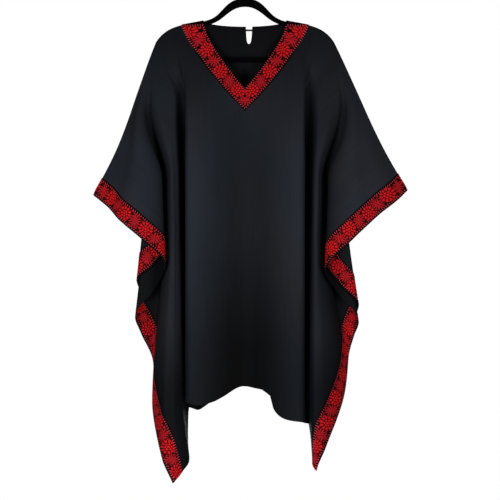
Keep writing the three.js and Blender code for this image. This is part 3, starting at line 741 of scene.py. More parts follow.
class Field:
    """A number that varies over a surface, worked out by shader nodes."""

    def __init__(self, tree, socket):
        self.tree = tree
        self.socket = socket

    def work(self, operation, *others, clamp=False):
        node = self.tree.nodes.new("ShaderNodeMath")
        node.operation = operation
        node.use_clamp = clamp
        for slot, value in zip(node.inputs, (self, *others)):
            if isinstance(value, Field):
                self.tree.links.new(value.socket, slot)
            else:
                slot.default_value = value
        return Field(self.tree, node.outputs[0])

    __add__ = partialmethod(work, "ADD")
    __sub__ = partialmethod(work, "SUBTRACT")
    __mul__ = partialmethod(work, "MULTIPLY")
    __truediv__ = partialmethod(work, "DIVIDE")
    __mod__ = partialmethod(work, "FLOORED_MODULO")
    __neg__ = partialmethod(work, "MULTIPLY", -1.0)
    __abs__ = partialmethod(work, "ABSOLUTE")
    most = partialmethod(work, "MAXIMUM")
    power = partialmethod(work, "POWER")
    sine = partialmethod(work, "SINE")
    cosine = partialmethod(work, "COSINE")
    whole = partialmethod(work, "FLOOR")
    angle_from = partialmethod(work, "ARCTAN2")
    clamped = partialmethod(work, "ADD", 0.0, clamp=True)

    def rest(self):
        """What is missing from 1."""
        return -self + 1.0

    def wave(self, length):
        """A sine wave that repeats at a length."""
        return (self * (2 * math.pi / length)).sine()

    def below(self, edge, soft):
        """1 where the number is under the edge and 0 above it, over a soft step."""
        node = self.tree.nodes.new("ShaderNodeMapRange")
        node.interpolation_type = "SMOOTHSTEP"
        self.tree.links.new(self.socket, node.inputs["Value"])
        ends = {"From Min": edge - soft, "From Max": edge + soft, "To Min": 1, "To Max": 0}
        for name, value in ends.items():
            node.inputs[name].default_value = value
        return Field(self.tree, node.outputs["Result"])


def shade(colour, *factors):
    """A colour times one factor, or times one for each channel."""
    factors = factors * 3 if len(factors) == 1 else factors
    return tuple(min(1, c * k) for c, k in zip(colour, factors))


class Finish:
    """A node material with one Principled shader."""

    def __init__(self, name, colour, roughness, **sockets):
        self.material = bpy.data.materials.new(name)
        self.material.use_nodes = True
        self.tree = self.material.node_tree
        self.shader = self.tree.nodes["Principled BSDF"]
        self.shader.inputs["Base Color"].default_value = (*colour[:3], 1)
        self.shader.inputs["Roughness"].default_value = roughness
        for socket, value in sockets.items():
            self.shader.inputs[socket.replace("_", " ")].default_value = value

    def node(self, kind, settings=(), **inputs):
        """A new node, with its settings, and its inputs from numbers, fields or sockets."""
        node = self.tree.nodes.new("ShaderNode" + kind)
        for name, value in dict(settings).items():
            setattr(node, name, value)
        for name, value in inputs.items():
            if isinstance(value, Field):
                value = value.socket
            if isinstance(value, bpy.types.NodeSocket):
                self.tree.links.new(value, node.inputs[name])
            else:
                node.inputs[name].default_value = value
        return node

    def cut_fields(self):
        """The cut's coordinates in metres: both as one socket, and each as a field."""
        cut = self.node("UVMap", {"uv_map": "cut"}).outputs["UV"]
        return cut, *self.split(cut)[:2]

    def split(self, socket):
        outputs = self.node("SeparateXYZ", Vector=socket).outputs
        return [Field(self.tree, out) for out in outputs]

    def object_place(self):
        return self.node("TexCoord").outputs["Object"]

    def stretched(self, socket, scale):
        return self.node("Mapping", Scale=scale, Vector=socket).outputs["Vector"]

    def attribute(self, name):
        return Field(self.tree, self.node("Attribute", {"attribute_name": name}).outputs["Fac"])

    def noise(self, socket, scale, detail=2.0, roughness=0.5):
        node = self.node("TexNoise", Scale=scale, Detail=detail, Roughness=roughness, Vector=socket)
        return Field(self.tree, node.outputs["Fac"])

    def tiles(self, socket, scale):
        """Distance from the edges of irregular cells, as a share of their size."""
        edges = {"feature": "DISTANCE_TO_EDGE"}
        node = self.node("TexVoronoi", edges, Scale=scale, Vector=socket)
        return Field(self.tree, node.outputs["Distance"])

    def blend(self, share, low, high):
        """A colour between two, each a colour or a socket."""
        node = self.node("Mix", {"data_type": "RGBA"})
        sockets = [s for s in node.inputs if s.type == "RGBA"]
        self.tree.links.new(share.socket, node.inputs[0])
        for slot, value in zip(sockets, (low, high)):
            if isinstance(value, bpy.types.NodeSocket):
                self.tree.links.new(value, slot)
            else:
                slot.default_value = (*value[:3], 1)
        return next(s for s in node.outputs if s.type == "RGBA")

    def scaled(self, colour, factor):
        """A colour made lighter or darker by a field."""
        scale = {"operation": "SCALE"}
        return self.node("VectorMath", scale, Vector=colour, Scale=factor).outputs[0]

    def colour(self, socket):
        self.tree.links.new(socket, self.shader.inputs["Base Color"])

    def roughness(self, field):
        self.tree.links.new(field.socket, self.shader.inputs["Roughness"])

    def relief(self, height, distance, strength):
        node = self.node("Bump", Strength=strength, Distance=distance, Height=height)
        self.tree.links.new(node.outputs["Normal"], self.shader.inputs["Normal"])


def crepe_material(look):
    finish = Finish(
        "crepe", look.cloth_colour, 0.62,
        Specular_IOR_Level=0.035, Sheen_Weight=look.cloth_sheen, Sheen_Roughness=0.4,
    )
    finish.shader.inputs["Sheen Tint"].default_value = (*look.sheen_colour, 1)
    cut, x, y = finish.cut_fields()
    pebble = finish.noise(finish.stretched(cut, (1, 0.55, 1)), 1900, 2.5, 0.6)
    threads = x.wave(0.0016) * y.wave(0.0019)
    drift = finish.noise(finish.stretched(cut, (3.5, 0.8, 1)), 2.2, 3.0)
    streak = finish.noise(finish.stretched(cut, (1, 0.04, 1)), 260, 2.0)
    tone = (drift * 0.8 + streak * 0.45 + pebble * 0.22 - 0.23).clamped()
    warm = finish.noise(finish.stretched(cut, (1, 0.6, 1)), 5.5, 2.0)
    tint = finish.blend(
        (warm * 2.0 - 0.5).clamped(),
        shade(look.cloth_colour, 0.78, 1.0, 1.16), shade(look.cloth_colour, 1.16, 1.0, 1.02),
    )
    # Colour scaled by the painted light and shade of each place, and by the crepe's own tone.
    finish.colour(finish.scaled(tint, finish.attribute("painted_light") * (tone * 0.9 + 0.55)))
    finish.roughness(drift * 0.16 + pebble * 0.1 + 0.5)
    hem = finish.attribute("hem")
    groove = abs(hem - HEM_TURN).below(0.0007, 0.0005)
    stitch = abs((x % look.hem_stitch) - look.hem_stitch / 2).below(look.hem_stitch * 0.32, 0.0003)
    height = pebble * 0.55 + threads * 0.12 - groove * 0.9 + groove * stitch * 1.6
    finish.relief(height, 0.00035, 0.55)
    return finish.material


def polar(x, y):
    """Distance and angle of a place, from its two coordinates."""
    return (x * x + y * y).power(0.5), y.angle_from(x)


def leaf_cluster(x, y, radius, lobes, depth, turn):
    """Distance from a cluster's outline, as a share of its radius: 1 on the outline."""
    reach, angle = polar(x, y)
    lobe = abs((angle * (lobes / 2) + turn).cosine()).power(0.7)
    return reach / (lobe * (radius * depth) + radius * (1 - depth)), angle


def petal_ring(reach, angle, count, turn, start, end, gap):
    """A ring of round petals with dark gaps between them, and how far the ring's outline is."""
    wave = abs((angle * (count / 2) + turn).sine())
    outline = reach - (wave.power(0.6) * 0.24 + 0.76) * end
    between = (wave * reach * (2 / count)).below(gap, 0.0003)
    petals = outline.below(0.0, 0.0003) * between.rest() * reach.below(start, 0.0003).rest()
    return petals, outline


def ribbon_material(look, width):
    """Woven ribbon: a flower in each repeat, leaves and small petals between, on a black ground."""
    finish = Finish(
        "ribbon", look.flower_colour, 0.6,
        Specular_IOR_Level=0.03, Sheen_Weight=0.0, Sheen_Roughness=0.4,
    )
    cut, x, y = finish.cut_fields()
    repeat, radius = look.flower_repeat, look.flower_radius
    wobble = finish.noise(cut, 95, 2.0) - 0.5
    x = x + wobble * 0.0035
    y = y + wobble * 0.0025
    across = y - width / 2
    swing = ((x / repeat).whole() % 2.0 - 0.5) * 0.004
    reach, angle = polar((x % repeat) - repeat / 2, across + swing)
    outer, outline = petal_ring(reach, angle, 11, 0.0, radius * 0.56, radius, 0.001)
    inner, _ = petal_ring(reach, angle, 6, 0.9, radius * 0.23, radius * 0.5, 0.0008)
    heart = reach.below(radius * 0.16, 0.0004)
    flower_red = (outer * 0.85).most(inner).most(heart)
    outside = outline.below(0.0011, 0.0003).rest()
    # Leaves stand crosswise between two flowers, with their ribs
    leaf_along = ((x + repeat / 2) % repeat) - repeat / 2
    leaves, leaf_angle = leaf_cluster(leaf_along, across - swing, 0.0185, 6, 0.75, 0.25)
    leaf_rib = abs((leaf_angle * 3.0 + 0.25).cosine()).rest().below(0.05, 0.04)
    leaf_red = leaves.below(0.92, 0.06) * leaf_rib.rest()
    # Small petals fill the rest
    cells = finish.tiles(finish.stretched(cut, (0.8, 1.15, 1)), look.petal_density)
    small_red = cells.below(0.15, 0.04).rest() * leaves.below(1.12, 0.06).rest()
    dull = leaf_red.most(small_red) * outside
    thread_line = (x * 0.8 + y).wave(0.0011) * 0.5 + 0.5
    speckle = finish.noise(cut, 620, 1.5)
    border = abs(across).below(width / 2 - 0.0062, 0.0005)
    ground = finish.blend(speckle, look.ground_colour, shade(look.leaf_colour, 0.03))
    dull_colour = finish.blend(
        finish.noise(cut, 130, 1.0) * 0.6 + speckle * 0.4,
        shade(look.leaf_colour, 0.6), shade(look.leaf_colour, 1.8),
    )
    bright_colour = finish.blend(
        thread_line * 0.5 + speckle * 0.5,
        shade(look.flower_colour, 0.72), shade(look.flower_colour, 1.25),
    )
    colour = finish.blend(dull * border, ground, dull_colour)
    colour = finish.blend(flower_red * border, colour, bright_colour)
    finish.colour(colour)
    finish.roughness(speckle * 0.2 + 0.52)
    raised = (flower_red.most(dull * 0.75) * border) + thread_line * 0.14 + speckle * 0.25
    finish.relief(raised, 0.0007, 0.8)
    return finish.material


def thread_material(name, colour, roughness, pitch=0.0009):
    finish = Finish(
        name, colour, roughness,
        Specular_IOR_Level=0.3, Sheen_Weight=0.15, Sheen_Roughness=0.4,
    )
    place = finish.object_place()
    grain = finish.noise(place, 900, 2.0)
    x, _, z = finish.split(place)
    ply = (x + z).wave(pitch) * 0.5 + 0.5
    finish.colour(finish.blend(grain * 0.6 + ply * 0.4, shade(colour, 0.6), shade(colour, 1.35)))
    finish.relief(ply * 0.7 + grain * 0.3, 0.0002, 0.6)
    return finish.material


def flock_material(look):
    finish = Finish(
        "flock", look.flock_colour, 0.95,
        Specular_IOR_Level=0.01, Sheen_Weight=0.004, Sheen_Roughness=0.6,
    )
    place = finish.object_place()
    nap = finish.noise(place, 1400, 3.0, 0.7)
    brushed = finish.noise(finish.stretched(place, (1, 1, 3)), 38, 2.0)
    finish.colour(finish.blend(
        nap * 0.6 + brushed * 0.4, shade(look.flock_colour, 0.5), shade(look.flock_colour, 1.6),
    ))
    finish.relief(nap, 0.0004, 0.5)
    return finish.material


def steel_material(look):
    finish = Finish("hook_metal", look.metal_colour, 0.2, Metallic=1.0)
    place = finish.object_place()
    brushed = finish.noise(finish.stretched(place, (1, 1, 6)), 420, 2.0)
    haze = finish.noise(place, 60, 2.0)
    finish.roughness(brushed * 0.1 + haze * 0.14 + 0.1)
    finish.colour(finish.blend(haze, look.metal_colour, shade(look.metal_colour, 0.82)))
    finish.relief(brushed, 0.00006, 0.25)
    return finish.material


def button_material(look):
    finish = Finish("button", look.button_colour, 0.28, Specular_IOR_Level=0.5)
    place = finish.object_place()
    cloud = finish.noise(place, 320, 2.0)
    finish.roughness(cloud * 0.2 + 0.2)
    finish.colour(finish.blend(cloud, look.button_colour, shade(look.button_colour, 2.4)))
    finish.relief(finish.noise(place, 2200, 1.0), 0.00004, 0.3)
    return finish.material


# ---------------------------------------------------------------- settings


def length_property(name, description, default, high=1.0):
    return bpy.props.FloatProperty(
        name=name, description=description, default=default, min=0, max=high,
        unit="LENGTH", subtype="DISTANCE", precision=5,
    )


def colour_property(name, description, default):
    return bpy.props.FloatVectorProperty(
        name=name, description=description, default=default, size=3, min=0, max=1, subtype="COLOR",
    )


class KaftanCloth(bpy.types.PropertyGroup):
    cloth_thickness: length_property("Cloth", "Thickness of the crepe", 0.0011)
    ribbon_width: length_property("Ribbon width", "Width of every ribbon", RIBBON_WIDTH)
    ribbon_thickness: length_property("Ribbon", "Thickness of the ribbon with its weave", 0.0014)
    hem_stitch: length_property("Hem stitch", "Spacing of the stitches along the hem", 0.0042)
    cloth_colour: colour_property("Crepe", "Colour of the crepe", (0.0118, 0.0129, 0.0153))
    sheen_colour: colour_property("Sheen", "Colour of the bloom on the crepe", (0.55, 0.62, 0.72))
    cloth_sheen: bpy.props.FloatProperty(
        name="Sheen weight", description="Strength of the bloom on the crepe",
        default=0.02, min=0, max=1, subtype="FACTOR",
    )


class KaftanRibbon(bpy.types.PropertyGroup):
    flower_repeat: length_property("Repeat", "Length of one repeat of the flowers", 0.062)
    flower_radius: length_property("Flower", "Radius of a flower", 0.0172)
    petal_density: bpy.props.FloatProperty(
        name="Small petals", description="Small petals in each metre of ribbon", default=150, min=1,
        subtype="UNSIGNED",
    )
    stitch_pitch: length_property("Stitch pitch", "Spacing of the stitches", 0.0060)
    stitch_length: length_property("Stitch length", "Length of one stitch", 0.0072)
    stitch_width: length_property("Stitch width", "Thickness of the stitching thread", 0.0021)
    flower_colour: colour_property("Flowers", "Colour of the flowers", (0.56, 0.009, 0.012))
    leaf_colour: colour_property(
        "Leaves", "Colour of the leaves and small petals", (0.30, 0.007, 0.011),
    )
    ground_colour: colour_property("Ground", "Colour between them", (0.0022, 0.001, 0.0012))
    stitch_colour: colour_property("Stitches", "Colour of the edge stitches", (0.50, 0.03, 0.05))


class KaftanHanger(bpy.types.PropertyGroup):
    edge_radius: length_property("Edge", "Rounding of the board's edges", 0.0011)
    wire_radius: length_property("Wire", "Radius of the hook's wire", 0.00175)
    hook_radius: length_property("Hook", "Inside radius of the hook", 0.020)
    button_radius: length_property("Button", "Radius of the button", 0.005)
    flock_colour: colour_property("Flock", "Colour of the flock", (0.0007, 0.0007, 0.0008))
    metal_colour: colour_property("Metal", "Colour of the hook's metal", (0.62, 0.62, 0.64))
    button_colour: colour_property("Button colour", "Colour of the button", (0.010, 0.010, 0.012))
    thread_colour: colour_property("Thread", "Colour of the loop's thread", (0.012, 0.012, 0.014))


class KaftanStage(bpy.types.PropertyGroup):
    camera_distance: length_property("Camera", "Distance of the camera", 4.6, high=20)
    floor_drop: length_property("Floor", "Height of the floor below the hook", 1.46, high=5)
    key_power: bpy.props.FloatProperty(
        name="Key", description="Power of the main light", default=42, min=0, unit="POWER",
    )
    fill_power: bpy.props.FloatProperty(
        name="Fill", description="Power of the light on the other side", default=34, min=0,
        unit="POWER",
    )
    back_power: bpy.props.FloatProperty(
        name="Back", description="Power of the light behind", default=34, min=0, unit="POWER",
    )
    room_light: bpy.props.FloatProperty(
        name="Room", description="Strength of the even light from all round", default=0.12, min=0,
        subtype="FACTOR",
    )
    paper_colour: colour_property("Paper", "Colour of floor and room", (0.94, 0.94, 0.94))


# ---------------------------------------------------------------- pieces


def seam_owner(columns, rows, tips):
    """Numbers of a panel's vertices: near a shoulder tip the short rows are the tip's own."""
    owner = np.arange(columns * rows).reshape(columns, rows)
    short = len(SEAM_ROWS) - 1
    owner[: tips[0], :short] = owner[tips[0], 0]
    owner[tips[1] + 1 :, :short] = owner[tips[1], 0]
    return owner


def make_panel(name, face, cloth):
    left = flap_columns(SIDES["left"], face)
    right = flap_columns(SIDES["right"], face)[::-1]
    middle = [body_column(face, float(cut)) for cut in body_cuts(face)]
    columns = left + middle + right
    points, cut_x, cut_z, hem, painted_light = (
        np.array([column[i] for column in columns]) for i in range(5)
    )
    tips = (len(left) - 1, len(left) + len(middle))
    normals = grid_normals(points, -face)
    short = len(SEAM_ROWS) - 1
    for tip, inward in ((tips[0], 1), (tips[1], -1)):
        normals[tip, : short + 1] = normals[tip + inward, : short + 1]
    normals[0, :, 1] = 0
    normals[-1, :, 1] = 0
    normals[:, 0, 1] = 0
    normals /= np.linalg.norm(normals, axis=-1, keepdims=True)
    half = cloth.cloth_thickness / 2
    turned = 0.35 * MM * ramp(hem, HEM_TURN + 0.0012, HEM_TURN - 0.0006)
    uv = np.stack([cut_x, cut_z], -1)
    owner = seam_owner(*points.shape[:2], tips)
    # The outer face takes the painted light of its places, the inner face a share of it as painted
    # shade.
    return wall_mesh(
        name, points, normals, -half - turned, half + turned, -face, uv, owner,
        {"hem": hem, "painted_light": np.stack([painted_light * INSIDE_SHADE, painted_light])},
    )


def ribbon_grid(side, face, width):
    """Points of an edge ribbon, with their distances down the edge and in from it."""
    folds = side["folds"]
    dense = np.linspace(SEAM_ANGLE, 90, 1500)
    cut_angles = read_table(folds, "flat", "flat" if face == FRONT else "back", dense)
    inset = RIBBON_ROWS * (width / RIBBON_ROWS[-1])
    reach = SLEEVE_REACH - inset
    top = reach * math.tan(math.radians(SEAM_ANGLE))
    bottom = side["tip_hem"] + hem_slope(side) * reach
    share = np.linspace(0, 1, RIBBON_COLUMNS)[:, None]
    down = mix(top, bottom, share)
    reach = np.broadcast_to(reach, down.shape)
    angle = np.degrees(np.arctan2(down, reach))
    flat = np.interp(angle, cut_angles, dense)
    points = side_surface(side, face, flat, angle, np.hypot(down, reach))
    return points, down, np.broadcast_to(inset, down.shape)


def rounded(inset, width, edge=0.0016):
    """Thickness across a ribbon, as a share: it falls off in a round at both edges."""
    border = np.clip(np.minimum(inset, width - inset) / edge, 0, 1)
    return 0.25 + 0.75 * np.sqrt(1 - (1 - border) ** 2)


def make_ribbon(name, points, down, inset, turn, cloth):
    """A ribbon on a grid whose rows run across it."""
    normals = grid_normals(points, turn)
    base = cloth.cloth_thickness / 2 + 0.15 * MM
    top = base + cloth.ribbon_thickness * rounded(inset, cloth.ribbon_width)
    uv = np.stack([down, inset], -1)
    return wall_mesh(name, points, normals, base, top, turn, uv), normals


def unit(vectors):
    return vectors / np.linalg.norm(vectors, axis=1, keepdims=True)


def square_to(vectors, axes):
    """Unit vectors turned square to the unit axes."""
    return unit(vectors - axes * np.sum(vectors * axes, axis=1, keepdims=True))


def make_stitches(name, template, points, normals, inset, cloth, ribbon):
    """Stitches over both edges of a ribbon, evenly spaced along it."""
    places, lengths, sides, ups = [], [], [], []
    width = cloth.ribbon_width
    for border, inward in ((STITCH_INSET, 1), (width - STITCH_INSET, -1)):
        row = int(np.searchsorted(inset[0], border)) - 1
        share = (border - inset[0, row]) / (inset[0, row + 1] - inset[0, row])
        line = mix(points[:, row], points[:, row + 1], share)
        steps = np.linalg.norm(np.diff(line, axis=0), axis=1)
        run = np.concatenate([[0], np.cumsum(steps)])
        spots = np.arange(ribbon.stitch_pitch * 0.6, run[-1], ribbon.stitch_pitch)

        def along(values):
            return np.stack([np.interp(spots, run, values[:, k]) for k in range(3)], -1)

        up = unit(along(normals[:, row]))
        forward = unit(along(np.gradient(line, axis=0)))
        across = square_to(along(points[:, row + 1] - points[:, row]), forward)
        slant = square_to(across + 0.25 * forward * inward, up)
        lift = cloth.cloth_thickness / 2 + cloth.ribbon_thickness * 0.95
        places.append(along(line) + up * lift)
        lengths.append(slant)
        sides.append(np.cross(up, slant))
        ups.append(up)
    return copies(
        name, template, *(np.concatenate(parts) for parts in (places, lengths, sides, ups))
    )


def stitch_template(ribbon):
    """One stitch: a short round thread that dips at both ends."""
    bpy.ops.mesh.primitive_cylinder_add(
        vertices=6, radius=ribbon.stitch_width / 2, depth=ribbon.stitch_length,
        rotation=(0, math.pi / 2, 0),
    )
    stitch = bpy.context.object
    settle(stitch)
    edit_all(stitch)
    bpy.ops.mesh.bisect(plane_co=(0, 0, 0), plane_no=(1, 0, 0))
    bpy.ops.object.mode_set(mode="OBJECT")
    half = ribbon.stitch_length / 2
    for vertex in stitch.data.vertices:
        end = abs(vertex.co.x) / half
        vertex.co.y *= 1 - 0.35 * end
        vertex.co.z = vertex.co.z * (0.66 - 0.3 * end) - 0.0004 * end**2
    return stitch


class OBJECT_OT_kaftan_panels(bpy.types.Operator):
    """Make the front and the back as hanging sheets of crepe"""

    bl_idname = "kaftan.panels"
    bl_label = "Front and back"

    def execute(self, context):
        cloth = context.scene.kaftan_cloth
        material = crepe_material(cloth)
        for name, face in (("front", FRONT), ("back", BACK)):
            piece = make_panel(name + "_cloth", face, cloth)
            dress(piece, material)
            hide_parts(name + "_panel")
        return {"FINISHED"}


class OBJECT_OT_kaftan_ribbons(bpy.types.Operator):
    """Make the ribbons of the neck and the edges, with their stitches"""

    bl_idname = "kaftan.ribbons"
    bl_label = "Ribbons"

    def execute(self, context):
        cloth, ribbon = context.scene.kaftan_cloth, context.scene.kaftan_ribbon
        width = cloth.ribbon_width
        material = ribbon_material(ribbon, width)
        thread = thread_material("stitching", tuple(ribbon.stitch_colour), 0.55)
        template = stitch_template(ribbon)
        grids = {}
        for face, face_name in ((FRONT, "front"), (BACK, "back")):
            for side_name, side in SIDES.items():
                node = f"{face_name}_edge_trim_{side_name}"
                grids[node] = (*ribbon_grid(side, face, width), -face * side["sign"])
        grids["neck_trim"] = (*self.neck_grid(width), -1)
        for node, (points, down, inset, turn) in grids.items():
            band = node.replace("trim", "ribbon")
            piece, normals = make_ribbon(band, points, down, inset, turn, cloth)
            dress(piece, material)
            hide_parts(node)
            stitches = make_stitches(
                band + "_stitches", template, points, normals, inset, cloth, ribbon
            )
            dress(stitches, thread)
        bpy.data.objects.remove(template)
        return {"FINISHED"}

    def neck_grid(self, width):
        """The neck's ribbon, mitred at its point. Its rows run from the neck to its outer edge."""
        inner_cuts = [cut for cut in body_cuts(FRONT) if abs(cut) < VEE_TRIM_X - 0.001]
        cuts = np.array([-VEE_TRIM_X, *inner_cuts, VEE_TRIM_X])
        across = RIBBON_ROWS / RIBBON_ROWS[-1]
        points, down = [], []
        for cut in cuts:
            column, _, cut_z, _, _ = body_column(FRONT, cut)
            rows = shoulder_height(cut) - cut_z
            top = float(vee_top(cut)) if abs(cut) < NECK_X else 0
            spots = mix(top, max(float(vee_trim_edge(cut)), top + 0.0005), across)
            points.append(np.stack([np.interp(spots, rows, column[:, k]) for k in range(3)], -1))
            down.append(spots)
        points, down, cuts = np.array(points), np.array(down), cuts[:, None]
        height = NECK_Z - (shoulder_height(cuts) - down)
        lean = math.atan2(VEE_TRIM_DEPTH, VEE_TRIM_X)
        run = (VEE_TRIM_X - np.abs(cuts)) * math.cos(lean) + height * math.sin(lean)
        return points, run, np.broadcast_to(across * width, down.shape)


class OBJECT_OT_kaftan_hanger(bpy.types.Operator):
    """Make the flocked board, its metal hook and the ferrule between them"""

    bl_idname = "kaftan.hanger"
    bl_label = "Hanger"

    def execute(self, context):
        look = context.scene.kaftan_hanger
        board = frame["nodes"]["hanger_body"].copy()
        board.data = board.data.copy()
        board.name = "hanger_board"
        board.pop("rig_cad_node", None)
        context.scene.collection.objects.link(board)
        edit_all(board)
        bpy.ops.mesh.remove_doubles(threshold=0.00005)
        bpy.ops.mesh.dissolve_limited(angle_limit=math.radians(2))
        self.round_arch(board)
        bevel(board, look.edge_radius, 50)
        smooth(board, 40)
        dress(board, flock_material(look))
        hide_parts("hanger_body")

        metal = steel_material(look)
        radius = look.hook_radius + look.wire_radius
        route = [(0, 0, -0.0597), (0, 0, -0.052), (0.0022, 0, -0.0463), (0.0085, 0, -0.0412)]
        for degrees in range(-38, 206, 27):
            turn = math.radians(degrees)
            route.append((radius * math.cos(turn), 0, -look.hook_radius + radius * math.sin(turn)))
        curve, spline = new_curve("BEZIER")
        spline.bezier_points.add(len(route) - 1)
        for point, place in zip(spline.bezier_points, route):
            point.co = place
            point.handle_left_type = point.handle_right_type = "AUTO"
        curve.resolution_u = 10
        curve.use_fill_caps = True
        hook = as_mesh("hook", curve, look.wire_radius, 5)
        end = Vector(route[-1])
        bpy.ops.mesh.primitive_uv_sphere_add(
            segments=20, ring_count=12, radius=look.wire_radius * 1.02, location=end
        )
        tip = context.object
        edit_all(tip)
        bpy.ops.transform.resize(value=(1, 1, 0.8), center_override=end)
        bpy.ops.object.mode_set(mode="OBJECT")
        settle(tip)
        joined([hook, tip], "hook")
        smooth(hook, 50)
        dress(hook, metal)
        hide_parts("hanger_hook")

        bpy.ops.mesh.primitive_cylinder_add(
            vertices=32, radius=FERRULE_RADIUS, depth=FERRULE_HEIGHT, location=(0, 0, FERRULE_Z)
        )
        ferrule = context.object
        ferrule.name = "ferrule"
        settle(ferrule)
        bevel(ferrule, 0.0008)
        smooth(ferrule, 40)
        dress(ferrule, metal)
        return {"FINISHED"}

    def round_arch(self, board):
        """Rounds the outline of the board's arched neck, which stands clear of the cloth."""
        bpy.ops.mesh.select_mode(type="EDGE")
        bpy.ops.mesh.select_all(action="DESELECT")
        bpy.ops.object.mode_set(mode="OBJECT")
        corners = board.data.vertices
        for edge in board.data.edges:
            one, two = (corners[v].co for v in edge.vertices)
            edge.select = min(one.z, two.z) > ARCH_FOOT_Z and abs(one.y - two.y) < 0.0001
        bpy.ops.object.mode_set(mode="EDIT")
        bpy.ops.mesh.subdivide(number_cuts=4)
        bpy.ops.mesh.vertices_smooth(factor=0.5, repeat=14, xaxis=True, yaxis=False, zaxis=True)
        bpy.ops.object.mode_set(mode="OBJECT")


class OBJECT_OT_kaftan_fastening(bpy.types.Operator):
    """Make the button and its thread loop behind the neck"""

    bl_idname = "kaftan.fastening"
    bl_label = "Button and loop"

    def execute(self, context):
        look = context.scene.kaftan_hanger
        low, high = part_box("back_button")
        centre = (low + high) / 2
        radius = look.button_radius
        bpy.ops.mesh.primitive_cylinder_add(
            vertices=40, radius=radius, depth=BUTTON_THICKNESS, location=(0, 0, 0)
        )
        button = context.object
        button.name = "button"
        bpy.ops.object.mode_set(mode="EDIT")
        bpy.ops.mesh.select_mode(type="FACE")
        self.select_facing(button, 1)
        bpy.ops.mesh.inset(thickness=radius * 0.22)
        bpy.ops.transform.translate(value=(0, 0, -0.0006))
        bpy.ops.mesh.inset(thickness=radius * 0.3)
        bpy.ops.transform.translate(value=(0, 0, 0.0002))
        self.select_facing(button, -1)
        bpy.ops.mesh.inset(thickness=radius * 0.74)
        bpy.ops.mesh.extrude_region_move(TRANSFORM_OT_translate={"value": (0, 0, -0.0026)})
        bpy.ops.object.mode_set(mode="OBJECT")
        bevel(button, 0.0004)
        button.rotation_euler = (-math.pi / 2, 0, 0)
        button.location = (centre.x, high.y - BUTTON_THICKNESS / 2, centre.z)
        settle(button)
        smooth(button, 40)
        dress(button, button_material(look))
        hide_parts("back_button")

        low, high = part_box("button_loop")
        centre = (low + high) / 2
        size = high - low
        thread = thread_material("loop_thread", tuple(look.thread_colour), 0.6, 0.0011)
        half_x, half_z = size.x / 2 - STRAND_RADIUS, size.z * 0.13
        turns = np.linspace(0, 2 * math.pi, 96, endpoint=False)
        strands = []
        for strand in range(STRANDS):
            curve, spline = new_curve("POLY")
            spline.points.add(len(turns) - 1)
            spline.use_cyclic_u = True
            for point, turn in zip(spline.points, turns):
                twist = LOOP_TWISTS * turn + 2 * math.pi * strand / STRANDS
                out = Vector((math.cos(turn), 0, math.sin(turn)))
                straight = math.copysign(min(1, abs(out.x) * 6), out.x) * (half_x - half_z)
                place = centre + out * half_z + Vector((straight, 0, LOOP_LIFT))
                around = out * math.cos(twist) + Vector((0, math.sin(twist), 0))
                place += around * STRAND_OFFSET
                point.co = (*place, 1)
            strands.append(as_mesh(f"loop_{strand}", curve, STRAND_RADIUS, 2))
        loop = joined(strands, "thread_loop")
        smooth(loop, 60)
        dress(loop, thread)
        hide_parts("button_loop")
        return {"FINISHED"}

    def select_facing(self, piece, way):
        """Selects the faces that look straight up (1) or straight down (-1)."""
        bpy.ops.mesh.select_all(action="DESELECT")
        bpy.ops.object.mode_set(mode="OBJECT")
        for polygon in piece.data.polygons:
            polygon.select = polygon.normal.z * way > 0.9
        bpy.ops.object.mode_set(mode="EDIT")


class OBJECT_OT_kaftan_cloth_facts(bpy.types.Operator):
    """Finishes at once without making or stating anything"""

    bl_idname = "kaftan.cloth_facts"
    bl_label = "Cloth facts"

    def execute(self, context):
        return {"FINISHED"}


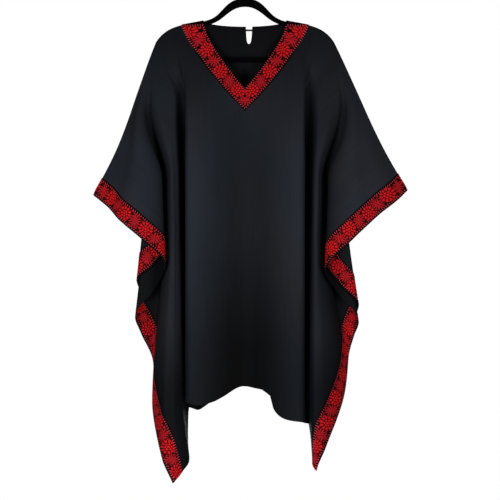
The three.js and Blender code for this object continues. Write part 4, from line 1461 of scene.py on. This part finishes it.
class OBJECT_OT_kaftan_stage(bpy.types.Operator):
    """Make the floor, the soft lights and the camera"""

    bl_idname = "kaftan.stage"
    bl_label = "Studio"

    def execute(self, context):
        stage = context.scene.kaftan_stage
        bpy.ops.mesh.primitive_circle_add(
            vertices=96, radius=1.45, fill_type="NGON", location=(0, 0, -stage.floor_drop)
        )
        floor = context.object
        floor.name = "floor"
        settle(floor)
        paper = Finish("paper", stage.paper_colour, 0.9, Specular_IOR_Level=0.1)
        grain = paper.noise(paper.object_place(), 160, 3.0)
        paper.colour(paper.blend(grain, shade(stage.paper_colour, 0.985), stage.paper_colour))
        paper.relief(grain, 0.0003, 0.2)
        floor.data.materials.append(paper.material)

        world = bpy.data.worlds.new("room")
        world.use_nodes = True
        tree = world.node_tree
        back = tree.nodes["Background"]
        back.inputs["Color"].default_value = (1, 1, 1, 1)
        path = tree.nodes.new("ShaderNodeLightPath")
        strength = tree.nodes.new("ShaderNodeMix")
        strength.inputs["A"].default_value = stage.room_light
        strength.inputs["B"].default_value = 1
        tree.links.new(path.outputs["Is Camera Ray"], strength.inputs["Factor"])
        tree.links.new(strength.outputs["Result"], back.inputs["Strength"])
        context.scene.world = world
        context.scene.view_settings.view_transform = "Standard"

        target = Vector((0, 0, -0.62))
        self.area("key_light", (-1.25, -2.1, -0.74), target, 1.3, stage.key_power)
        self.area("fill_light", (1.35, -2.1, -0.74), target, 1.3, stage.fill_power)
        self.area("back_light", (0, 2.7, -0.74), target, 1.6, stage.back_power, seen=False)

        camera_data = bpy.data.cameras.new("camera")
        camera = new_object("camera", camera_data)
        camera_data.sensor_width = SENSOR_WIDTH
        camera_data.lens = SENSOR_WIDTH * stage.camera_distance / VIEW_WIDTH
        camera_data.clip_end = 50
        camera.location = (0.012, -stage.camera_distance, -0.664)
        camera.rotation_euler = (math.pi / 2, 0, 0)
        context.scene.camera = camera
        return {"FINISHED"}

    def area(self, name, place, target, size, power, seen=True):
        light = bpy.data.lights.new(name, "AREA")
        light.shape = "DISK"
        light.size = size
        light.energy = power
        lamp = new_object(name, light)
        lamp.location = place
        lamp.visible_camera = seen
        lamp.rotation_euler = (target - Vector(place)).to_track_quat("-Z", "Y").to_euler()


class VIEW3D_PT_kaftan(bpy.types.Panel):
    bl_label = "Kaftan"
    bl_idname = "VIEW3D_PT_kaftan"
    bl_space_type = "VIEW_3D"
    bl_region_type = "UI"
    bl_category = "Kaftan"

    def draw(self, context):
        scene = context.scene
        for group, steps in PANEL_GROUPS:
            box = self.layout.box()
            settings = getattr(scene, group)
            for name in settings.bl_rna.properties.keys():
                if name not in ("rna_type", "name"):
                    box.prop(settings, name)
            for step in steps:
                box.operator(step)


GROUPS = {
    "kaftan_cloth": KaftanCloth,
    "kaftan_ribbon": KaftanRibbon,
    "kaftan_hanger": KaftanHanger,
    "kaftan_stage": KaftanStage,
}
PANEL_GROUPS = (
    ("kaftan_cloth", ("kaftan.panels",)),
    ("kaftan_ribbon", ("kaftan.ribbons",)),
    ("kaftan_hanger", ("kaftan.hanger", "kaftan.fastening", "kaftan.cloth_facts")),
    ("kaftan_stage", ("kaftan.stage",)),
)
CLASSES = (
    *GROUPS.values(),
    OBJECT_OT_kaftan_panels,
    OBJECT_OT_kaftan_ribbons,
    OBJECT_OT_kaftan_hanger,
    OBJECT_OT_kaftan_fastening,
    OBJECT_OT_kaftan_cloth_facts,
    OBJECT_OT_kaftan_stage,
    VIEW3D_PT_kaftan,
)


def register():
    for item in CLASSES:
        bpy.utils.register_class(item)
    for name, group in GROUPS.items():
        setattr(bpy.types.Scene, name, bpy.props.PointerProperty(type=group))


def unregister():
    for name in GROUPS:
        delattr(bpy.types.Scene, name)
    for item in reversed(CLASSES):
        bpy.utils.unregister_class(item)


def main():
    register()
    bpy.ops.kaftan.stage()
    bpy.ops.kaftan.panels()
    bpy.ops.kaftan.ribbons()
    bpy.ops.kaftan.hanger()
    bpy.ops.kaftan.fastening()
    bpy.ops.kaftan.cloth_facts()


if __name__ == "__main__":
    main()
